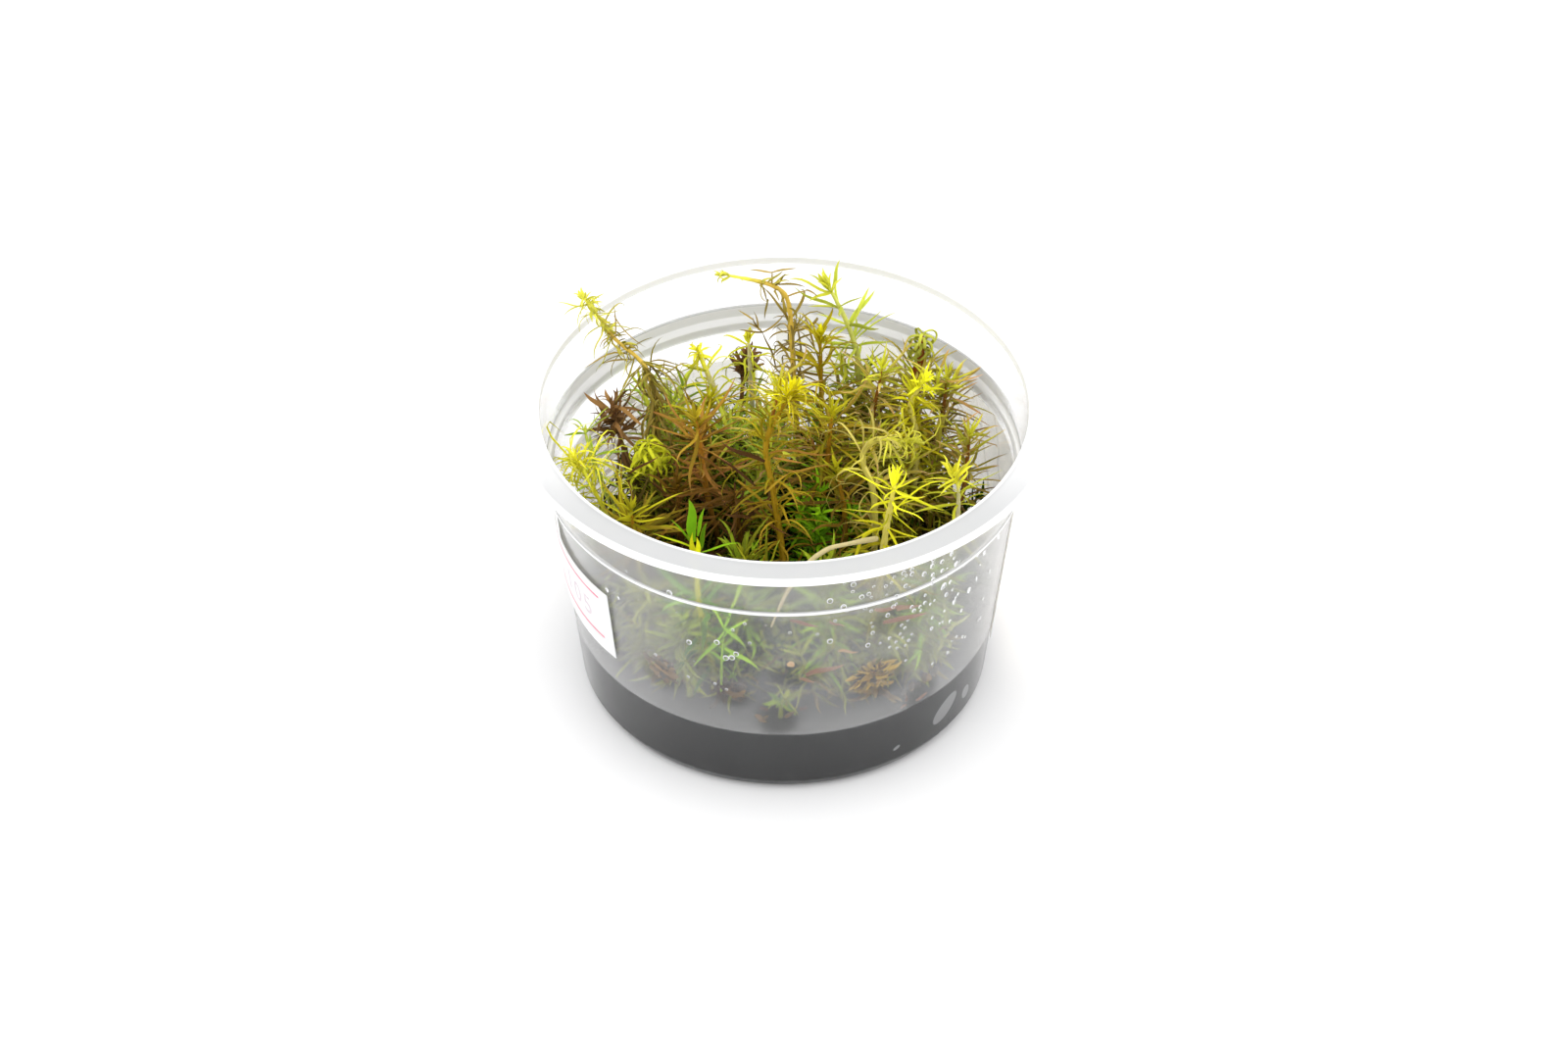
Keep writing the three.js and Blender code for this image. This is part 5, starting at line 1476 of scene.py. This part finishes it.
def spun(profile):
    """An open line of (radius, height) in millimetres, spun round Z into one skin."""
    deselect()
    bpy.ops.mesh.primitive_circle_add(vertices=len(profile), radius=1, fill_type="NOTHING")
    obj = bpy.context.object
    for vertex, (radius, height) in zip(obj.data.vertices, profile):
        vertex.co = (radius * MM, 0, height * MM)
    bpy.ops.object.mode_set(mode="EDIT")
    bpy.ops.mesh.select_mode(type="EDGE")
    mesh = bmesh.from_edit_mesh(obj.data)
    ends = {0, len(profile) - 1}
    for edge in mesh.edges:
        edge.select = {v.index for v in edge.verts} == ends
    bpy.ops.mesh.delete(type="EDGE")
    bpy.ops.mesh.select_all(action="SELECT")
    bpy.ops.mesh.spin(steps=CUP_TURNS, angle=FULL_TURN, center=(0, 0, 0), axis=(0, 0, 1))
    bpy.ops.mesh.select_all(action="SELECT")
    bpy.ops.mesh.remove_doubles(threshold=1e-6)
    bpy.ops.object.mode_set(mode="OBJECT")
    return faces_out(obj)


def rounded(obj, width):
    """Bevels every sharp ring of a spun piece and smooths it."""
    bevel = obj.modifiers.new("Edges", "BEVEL")
    bevel.width = width * MM
    bevel.segments = EDGE_STEPS
    bevel.limit_method = "ANGLE"
    bevel.angle_limit = math.radians(EDGE_ANGLE)
    only(obj)
    bpy.ops.object.modifier_apply(modifier=bevel.name)
    return smoothed(obj, SKIN_SMOOTH)


def cup_profile():
    """Half the cup's section: up the outside, over the flange and down the inside."""
    side = FLANGE_RADIUS - BLOOM_ROOM
    return [
        (0, 0), (BASE_RADIUS, 0), (BASE_RADIUS + FOOT_EASE, FOOT_EASE_HEIGHT), (FOOT_RADIUS, FOOT_HEIGHT),
        (LEDGE_RADIUS, LEDGE_HEIGHT), (BAND_RADIUS, BAND_HEIGHT),
        (MOUTH_RADIUS + WALL, UNDER_FLANGE), (FLANGE_RADIUS - WALL, UNDER_FLANGE),
        (FLANGE_RADIUS - WALL, SKIRT_FOOT), (side, SKIRT_FOOT), (side, FLANGE_TOP),
        (MOUTH_RADIUS, FLANGE_TOP),
        (BAND_RADIUS - WALL, BAND_HEIGHT + INNER_RISE), (LEDGE_RADIUS - WALL, LEDGE_HEIGHT + INNER_RISE),
        (FOOT_RADIUS - WALL, FOOT_HEIGHT + INNER_RISE), (BASE_RADIUS + INNER_EASE, FOOT_EASE_HEIGHT + WALL),
        (BASE_RADIUS - INNER_RISE, FLOOR_TOP), (0, FLOOR_TOP),
    ]


def make_cup():
    obj = rounded(spun(cup_profile()), 0.22)
    return finish_piece(obj, "culture_cup", cup_material(), "cup", "cup")


def bloom_profile():
    """The line of the milky skin: up the wall, round the flange and down to the ledge inside."""
    off = 0.03
    foot = GEL_TOP - 0.2
    skirt = FLANGE_RADIUS - WALL - off
    inner_ledge = LEDGE_RADIUS - WALL - off
    return [
        (float(outer_radius(foot)) + off, foot), (LEDGE_RADIUS + off, LEDGE_HEIGHT),
        (BAND_RADIUS + off, BAND_HEIGHT), (MOUTH_RADIUS + WALL + off, UNDER_FLANGE - off),
        (skirt, UNDER_FLANGE - off), (skirt, SKIRT_FOOT - off),
        (FLANGE_RADIUS, SKIRT_FOOT - off), (FLANGE_RADIUS, FLANGE_TOP + off),
        (MOUTH_RADIUS - off, FLANGE_TOP + off), (BAND_RADIUS - WALL - off, BAND_HEIGHT + INNER_RISE),
        (inner_ledge, LEDGE_HEIGHT + INNER_RISE), (inner_ledge - 0.22, LEDGE_HEIGHT - 1.8),
    ]


def make_bloom():
    """A skin just off the plastic, which carries its milk and the painted light and shade on the flange and
    the ledge.
    """
    return finish_piece(rounded(spun(bloom_profile()), 0.2), "cup_bloom", bloom_and_light_material(), "cup")


def gel_profile():
    """The gel's section, in touch with the wall, whose rim climbs it a little."""
    contact = WALL - GEL_OVERLAP
    side = float(outer_radius(GEL_TOP)) - contact
    corner = FOOT_HEIGHT + INNER_RISE
    floor = FLOOR_TOP - GEL_OVERLAP
    return [
        (0, floor), (BASE_RADIUS - INNER_RISE + GEL_OVERLAP, floor),
        (BASE_RADIUS + INNER_EASE + GEL_OVERLAP, FOOT_EASE_HEIGHT + contact),
        (float(outer_radius(corner)) - contact, corner),
        (side, GEL_TOP), (side - 0.5, GEL_TOP - 0.3), (side - 1.2, GEL_TOP - 0.55),
        (side - 2.6, GEL_TOP - MENISCUS + 0.12), (side - 5, GEL_TOP - MENISCUS), (0, GEL_TOP - MENISCUS),
    ]


def make_gel():
    obj = smoothed(spun(gel_profile()), SKIN_SMOOTH)
    return finish_piece(obj, "charcoal_gel", gel_material(), "gel", "gel")


# Labels

# Azimuths of both ends, the heights of the lower and the upper edge at each, and the paper's marks
LABELS = {
    "label_price": dict(ends=(-174, -138.5), low=(23.2, 23.2), high=(39.6, 39.6), marks=None),
    "label_back_large": dict(ends=(-5, 92), low=(7, 9), high=(44.8, 47.4), marks="crease_shade"),
    "label_back_small": dict(ends=(97, 160), low=(17, 16), high=(39.8, 39.4), marks="lines"),
}
LABEL_OFF = 0.32
LABEL_THICK = 0.16

# The print of the price label: two red lines and a plain number
PRICE_LINES = (
    dict(ends=(-174, -142.4), low=(36.9, 36.9), high=(37.35, 37.35)),
    dict(ends=(-174, -142.4), low=(26.5, 26.5), high=(26.95, 26.95)),
)
PRICE_DIGITS = dict(text="105", start=-162, height=4.6, base=29.6, spacing=1.25)
DIGIT_SHARE = 0.7
PRINT_OFF = 0.49
PRINT_THICK = 0.02


def round_wall(angle, z, off):
    """A point off the outside of the wall."""
    radius = float(outer_radius(z)) + off
    return radius * math.cos(angle) * MM, radius * math.sin(angle) * MM, z * MM


def bent_sheet(place, off, thickness, columns=60, rows=24):
    """A sheet bent round the wall, with its own edge heights."""
    deselect()
    bpy.ops.mesh.primitive_grid_add(x_subdivisions=columns, y_subdivisions=rows, size=1)
    obj = bpy.context.object
    for vertex in obj.data.vertices:
        along = vertex.co.x + 0.5
        rise = vertex.co.y + 0.5
        angle, low, high = (a + (b - a) * along for a, b in (place["ends"], place["low"], place["high"]))
        vertex.co = round_wall(math.radians(angle), low + (high - low) * rise, off)
    return thickened(obj, thickness)


def thickened(obj, thickness):
    thick = obj.modifiers.new("Thickness", "SOLIDIFY")
    thick.thickness = thickness * MM
    thick.offset = 1
    only(obj)
    bpy.ops.object.modifier_apply(modifier=thick.name)
    return smoothed(faces_out(obj), SHEET_SMOOTH)


def make_label(node):
    label = LABELS[node]
    obj = bent_sheet(label, LABEL_OFF, LABEL_THICK)
    return finish_piece(obj, node + "_sheet", paper_material(label["marks"]), "paper", node)


def make_price_lines():
    strips = [bent_sheet(place, PRINT_OFF, PRINT_THICK, 40, 2) for place in PRICE_LINES]
    only(strips[0])
    strips[1].select_set(True)
    bpy.ops.object.join()
    red = ink_material("Red ink", (0.75, 0.06, 0.17))
    return finish_piece(bpy.context.object, "price_lines", red, "paper")


def make_price_digits():
    deselect()
    bpy.ops.object.text_add(location=(0, 0, 0))
    words = bpy.context.object
    words.data.body = PRICE_DIGITS["text"]
    words.data.size = PRICE_DIGITS["height"] * MM / DIGIT_SHARE
    words.data.space_character = PRICE_DIGITS["spacing"]
    words.data.resolution_u = 4
    bpy.ops.object.convert(target="MESH")
    words = bpy.context.object
    for vertex in words.data.vertices:
        z = PRICE_DIGITS["base"] + vertex.co.y / MM
        radius = float(outer_radius(z)) + PRINT_OFF
        angle = math.radians(PRICE_DIGITS["start"]) + vertex.co.x / MM / radius
        vertex.co = round_wall(angle, z, PRINT_OFF)
    grey = ink_material("Grey ink", (0.66, 0.55, 0.60))
    return finish_piece(thickened(words, PRINT_THICK), "price_digits", grey, "paper")


# Large drops on the wall: azimuth in degrees and height, as the photograph shows them
DROPLETS = (
    (-58.9, 57.5), (-54.3, 53.9), (-37.8, 38.9), (-46.7, 51.0), (-56.4, 52.8), (-76.4, 50.3), (-79.6, 52.3),
    (-138.6, 40.9), (-117.0, 50.5), (-113.7, 37.6), (-106.4, 39.4), (-102.8, 35.9), (-104.3, 35.6),
    (-101.7, 37.1), (-48.3, 45.5), (-43.6, 38.9), (-36.0, 48.1), (-72.2, 52.0), (-69.2, 37.6), (-78.9, 40.6),
    (-74.3, 55.6),
)
DROP_OFF = 0.07
DROP_DEPTH = -0.6
DROP_SAG = 1.08
RIM_LIFT = 0.1
RIM_LEAST = 0.2


def droplet_spots():
    """Azimuth, height and size of every drop: the large ones, a patch of middling ones, and fine ones."""
    random = np.random.default_rng(SEED + 11)
    draw = random.uniform
    spots = [(azimuth, z, draw(0.4, 0.54)) for azimuth, z in DROPLETS]
    spots += [(random.normal(-56, 12), draw(34, 58), draw(0.2, 0.42)) for _ in range(80)]
    spots += [(draw(-150, -25), draw(24, 58), draw(0.12, 0.28)) for _ in range(70)]
    return spots


def set_out(shape, spots, depth=1, lift=0):
    """Copies of a modelled shape on the outside of the wall, as one object."""
    form, faces = taken(shape)
    corners, skins = [], []
    for azimuth, z, size in spots:
        angle = math.radians(azimuth)
        outward = np.array([math.cos(angle), math.sin(angle), 0])
        along = np.array([-math.sin(angle), math.cos(angle), 0])
        centre = outward * (float(outer_radius(z)) + DROP_OFF + lift * size) + np.array([0, 0, z])
        upward = np.array([0, 0, DROP_SAG])
        grown = form[:, :1] * along + form[:, 1:2] * upward + form[:, 2:] * outward * depth
        start = len(corners) * len(form)
        corners.append(centre + grown * size)
        skins += [tuple(start + i for i in face) for face in faces]
    return smoothed(faces_out(new_object(np.concatenate(corners), skins)), SKIN_SMOOTH)


def make_droplets():
    """Domes on the outside of the wall, and on the larger ones a white ring round the edge, a painted
    highlight where it catches the light.
    """
    spots = droplet_spots()
    deselect()
    bpy.ops.mesh.primitive_uv_sphere_add(segments=14, ring_count=10, radius=1)
    dome = bpy.context.object
    bpy.ops.object.mode_set(mode="EDIT")
    bpy.ops.mesh.select_all(action="SELECT")
    bpy.ops.mesh.bisect(plane_co=(0, 0, 0), plane_no=(0, 0, 1), use_fill=True, clear_outer=True)
    bpy.ops.object.mode_set(mode="OBJECT")
    finish_piece(set_out(dome, spots, depth=DROP_DEPTH), "droplets", droplet_material(), "cup")

    deselect()
    # Painted highlights: white rings round the edges of the larger drops
    bpy.ops.mesh.primitive_torus_add(major_segments=14, minor_segments=4, major_radius=1, minor_radius=0.2)
    highlight_spots = [spot for spot in spots if spot[2] >= RIM_LEAST]
    obj = set_out(bpy.context.object, highlight_spots, lift=RIM_LIFT)
    return finish_piece(obj, "droplet_rims", rim_highlight_material(), "cup")


RUNNER_RING = 6
RUNNER_SOFTENING = 5
RUNNER_WIDTHS = (0.5, 0.4, 0.2)
RUNNER_KNEE = 0.6
RUNNER_KNOTS = 0.12
KNOT_SPACING = 1.7


def make_runner(template):
    """The old pale runner, a thin bent stem across the front shoots."""
    points, _ = welded("runner_pale")
    order = np.argsort(points[:, 0])[::-1]
    groups = np.array_split(order, max(len(points) // RUNNER_RING, 2))
    centres = np.array([points[g].mean(axis=0) for g in groups])
    at = np.concatenate([[0], np.cumsum(np.linalg.norm(np.diff(centres, axis=0), axis=1))])
    t = np.linspace(0, at[-1], STEM_STEPS + 1)
    line = np.column_stack([np.interp(t, at, centres[:, k]) for k in range(3)])
    kernel = np.ones(RUNNER_SOFTENING) / RUNNER_SOFTENING
    margin = RUNNER_SOFTENING // 2
    padded = np.pad(line, ((margin, margin), (0, 0)), mode="edge")
    line = np.column_stack([np.convolve(padded[:, k], kernel, mode="valid") for k in range(3)])[None]
    widths = np.interp(t, [0, at[-1] * RUNNER_KNEE, at[-1]], RUNNER_WIDTHS)
    widths = widths * (1 + RUNNER_KNOTS * np.sin(t / KNOT_SPACING))
    growth = Growth()
    growth.add(template, template.along(line, widths[None], (0, 0.1, 1.0)),
               age=1.0, along=0.5, ridge=0.5, chance=0.4, stem=1.0)
    return growth.piece()


# The stage

STAGE_RADIUS = 6
STAGE_DROP = 0.00004
LIGHT_SIZE = 0.9

# Each light's place and its share of the key light's power
LIGHTS = {"key_light": ((-0.35, -0.25, 0.9), 1), "fill_light": ((0.6, -0.1, 0.6), 0.4)}


def make_stage():
    settings = bpy.context.scene.culture_stage
    scene = bpy.context.scene
    deselect()
    bpy.ops.mesh.primitive_circle_add(vertices=96, radius=STAGE_RADIUS, fill_type="NGON",
                                      location=(0, 0, -STAGE_DROP))
    floor = bpy.context.object
    floor.name = "floor"
    material, _, shader = new_material("White paper floor")
    shader.inputs["Base Color"].default_value = (0.95, 0.95, 0.953, 1)
    shader.inputs["Roughness"].default_value = 0.8
    shader.inputs["Specular IOR Level"].default_value = 0.1
    floor.data.materials.append(material)

    world = bpy.data.worlds.new("White studio")
    scene.world = world
    world.use_nodes = True
    back = world.node_tree.nodes["Background"]
    back.inputs["Color"].default_value = (1, 1, 1, 1)
    back.inputs["Strength"].default_value = settings.surround

    for name, (place, share) in LIGHTS.items():
        bpy.ops.object.light_add(type="AREA", location=place)
        light = bpy.context.object
        light.name = name
        light.data.energy = settings.key * share
        light.data.size = LIGHT_SIZE
        light.visible_transmission = False
        aim = -np.array(place)
        yaw = math.atan2(aim[1], aim[0])
        tilt = math.atan2(math.hypot(aim[0], aim[1]), -aim[2])
        light.rotation_euler = (tilt, 0, yaw - math.pi / 2)

    elevation = math.radians(settings.elevation)
    distance = settings.distance
    aim_height = settings.aim_height
    bpy.ops.object.camera_add(
        location=(0, -distance * math.cos(elevation), aim_height + distance * math.sin(elevation)),
        rotation=(math.pi / 2 - elevation, 0, 0),
    )
    camera = bpy.context.object
    camera.name = "photo_camera"
    camera.data.sensor_width = 36
    camera.data.lens = settings.lens
    camera.data.clip_start = 0.01
    camera.data.clip_end = 50
    scene.camera = camera
    scene.view_settings.view_transform = "Standard"
    scene.view_settings.look = "None"


# Settings

class CultureCupSettings(bpy.types.PropertyGroup):
    tint: bpy.props.FloatVectorProperty(
        name="Tint", description="Colour of the plastic", subtype="COLOR", default=(1.0, 1.0, 1.0),
        min=0, max=1)
    milk: bpy.props.FloatProperty(
        name="Milk", description="How much the wall's milky bloom hides", subtype="FACTOR",
        default=0.105, min=0, max=1)
    haze: bpy.props.FloatProperty(
        name="Haze", description="Roughness of the plastic's skin", subtype="FACTOR", default=0.1,
        min=0, max=1)


class CultureStageSettings(bpy.types.PropertyGroup):
    elevation: bpy.props.FloatProperty(
        name="Elevation", description="Camera's height above the horizon, in degrees", default=39.9)
    distance: bpy.props.FloatProperty(
        name="Distance", description="From the camera to its aim", default=0.811, unit="LENGTH")
    aim_height: bpy.props.FloatProperty(
        name="Aim height", description="Height of the point that the camera looks at", default=0.03295,
        unit="LENGTH")
    lens: bpy.props.FloatProperty(
        name="Lens", description="Focal length in millimetres", default=97.83)
    surround: bpy.props.FloatProperty(
        name="Surround", description="Strength of the white studio all round", default=1.33, min=0)
    key: bpy.props.FloatProperty(
        name="Key light", description="Power of the main soft light", default=1.6, min=0, unit="POWER")


# Operators

class CULTURE_OT_cup(bpy.types.Operator):
    """Spin the clear cup"""
    bl_idname = "culture.cup"
    bl_label = "Cup"

    def execute(self, context):
        make_cup()
        make_bloom()
        return {"FINISHED"}


class CULTURE_OT_gel(bpy.types.Operator):
    """Pour the charcoal gel"""
    bl_idname = "culture.gel"
    bl_label = "Gel"

    def execute(self, context):
        make_gel()
        return {"FINISHED"}


class CULTURE_OT_labels(bpy.types.Operator):
    """Stick the paper labels on"""
    bl_idname = "culture.labels"
    bl_label = "Labels"

    def execute(self, context):
        for node in LABELS:
            make_label(node)
        make_price_lines()
        make_price_digits()
        return {"FINISHED"}


class CULTURE_OT_droplets(bpy.types.Operator):
    """Set the water droplets on the wall"""
    bl_idname = "culture.droplets"
    bl_label = "Droplets"

    def execute(self, context):
        make_droplets()
        return {"FINISHED"}


class CULTURE_OT_plants(bpy.types.Operator):
    """Grow the fine leaves of every shoot"""
    bl_idname = "culture.plants"
    bl_label = "Plants"

    def execute(self, context):
        templates = {
            "leaf": Template(LEAF_SIDES, LEAF_STEPS),
            "coil": Template(COIL_SIDES, COIL_STEPS),
            "sprig": Template(SPRIG_SIDES, SPRIG_STEPS),
            "stem": Template(STEM_SIDES, STEM_STEPS),
        }
        materials = {kind: leaf_material(kind) for kind in TISSUES}

        def finish(obj, name, kind, *nodes):
            finish_piece(obj, name, materials[kind], TISSUES[kind]["slot"], *nodes)

        for node in SHOOTS:
            plant = Plant(node, templates)
            finish(plant.grow(), node + "_leafy", plant.look["style"], node)
        for name, (kind, setting) in UNDERGROWTH.items():
            finish(Undergrowth(templates["sprig"], **setting).grow(), name, kind)
        finish(make_fallen(templates["coil"]), "fallen_leaves", "fallen")
        finish(make_stuck(templates["leaf"], STUCK), "stuck_leaves", "fallen")
        finish(make_stuck(templates["leaf"], SHREDS), "stuck_shreds", "brown")
        finish(make_runner(templates["stem"]), "runner_pale_stem", "runner", "runner_pale")
        return {"FINISHED"}


class CULTURE_OT_stage(bpy.types.Operator):
    """Set the white floor, the soft lights and the camera"""
    bl_idname = "culture.stage"
    bl_label = "Stage"

    def execute(self, context):
        make_stage()
        return {"FINISHED"}


class CULTURE_PT_panel(bpy.types.Panel):
    """Lists the pieces of the culture cup"""
    bl_idname = "CULTURE_PT_panel"
    bl_label = "Culture cup"
    bl_space_type = "VIEW_3D"
    bl_region_type = "UI"
    bl_category = "Culture cup"

    def draw(self, context):
        for piece in PIECES:
            self.layout.operator(piece.bl_idname)
        for settings in (context.scene.culture_cup, context.scene.culture_stage):
            for name in settings.__annotations__:
                self.layout.prop(settings, name)


PIECES = (CULTURE_OT_stage, CULTURE_OT_cup, CULTURE_OT_gel, CULTURE_OT_labels, CULTURE_OT_droplets,
          CULTURE_OT_plants)
CLASSES = (CultureCupSettings, CultureStageSettings, *PIECES, CULTURE_PT_panel)


def register():
    for item in CLASSES:
        bpy.utils.register_class(item)
    bpy.types.Scene.culture_cup = bpy.props.PointerProperty(type=CultureCupSettings)
    bpy.types.Scene.culture_stage = bpy.props.PointerProperty(type=CultureStageSettings)


def unregister():
    del bpy.types.Scene.culture_stage
    del bpy.types.Scene.culture_cup
    for item in reversed(CLASSES):
        bpy.utils.unregister_class(item)


def main():
    register()
    bpy.ops.culture.stage()
    bpy.ops.culture.cup()
    bpy.ops.culture.gel()
    bpy.ops.culture.labels()
    bpy.ops.culture.droplets()
    bpy.ops.culture.plants()


if __name__ == "__main__":
    main()
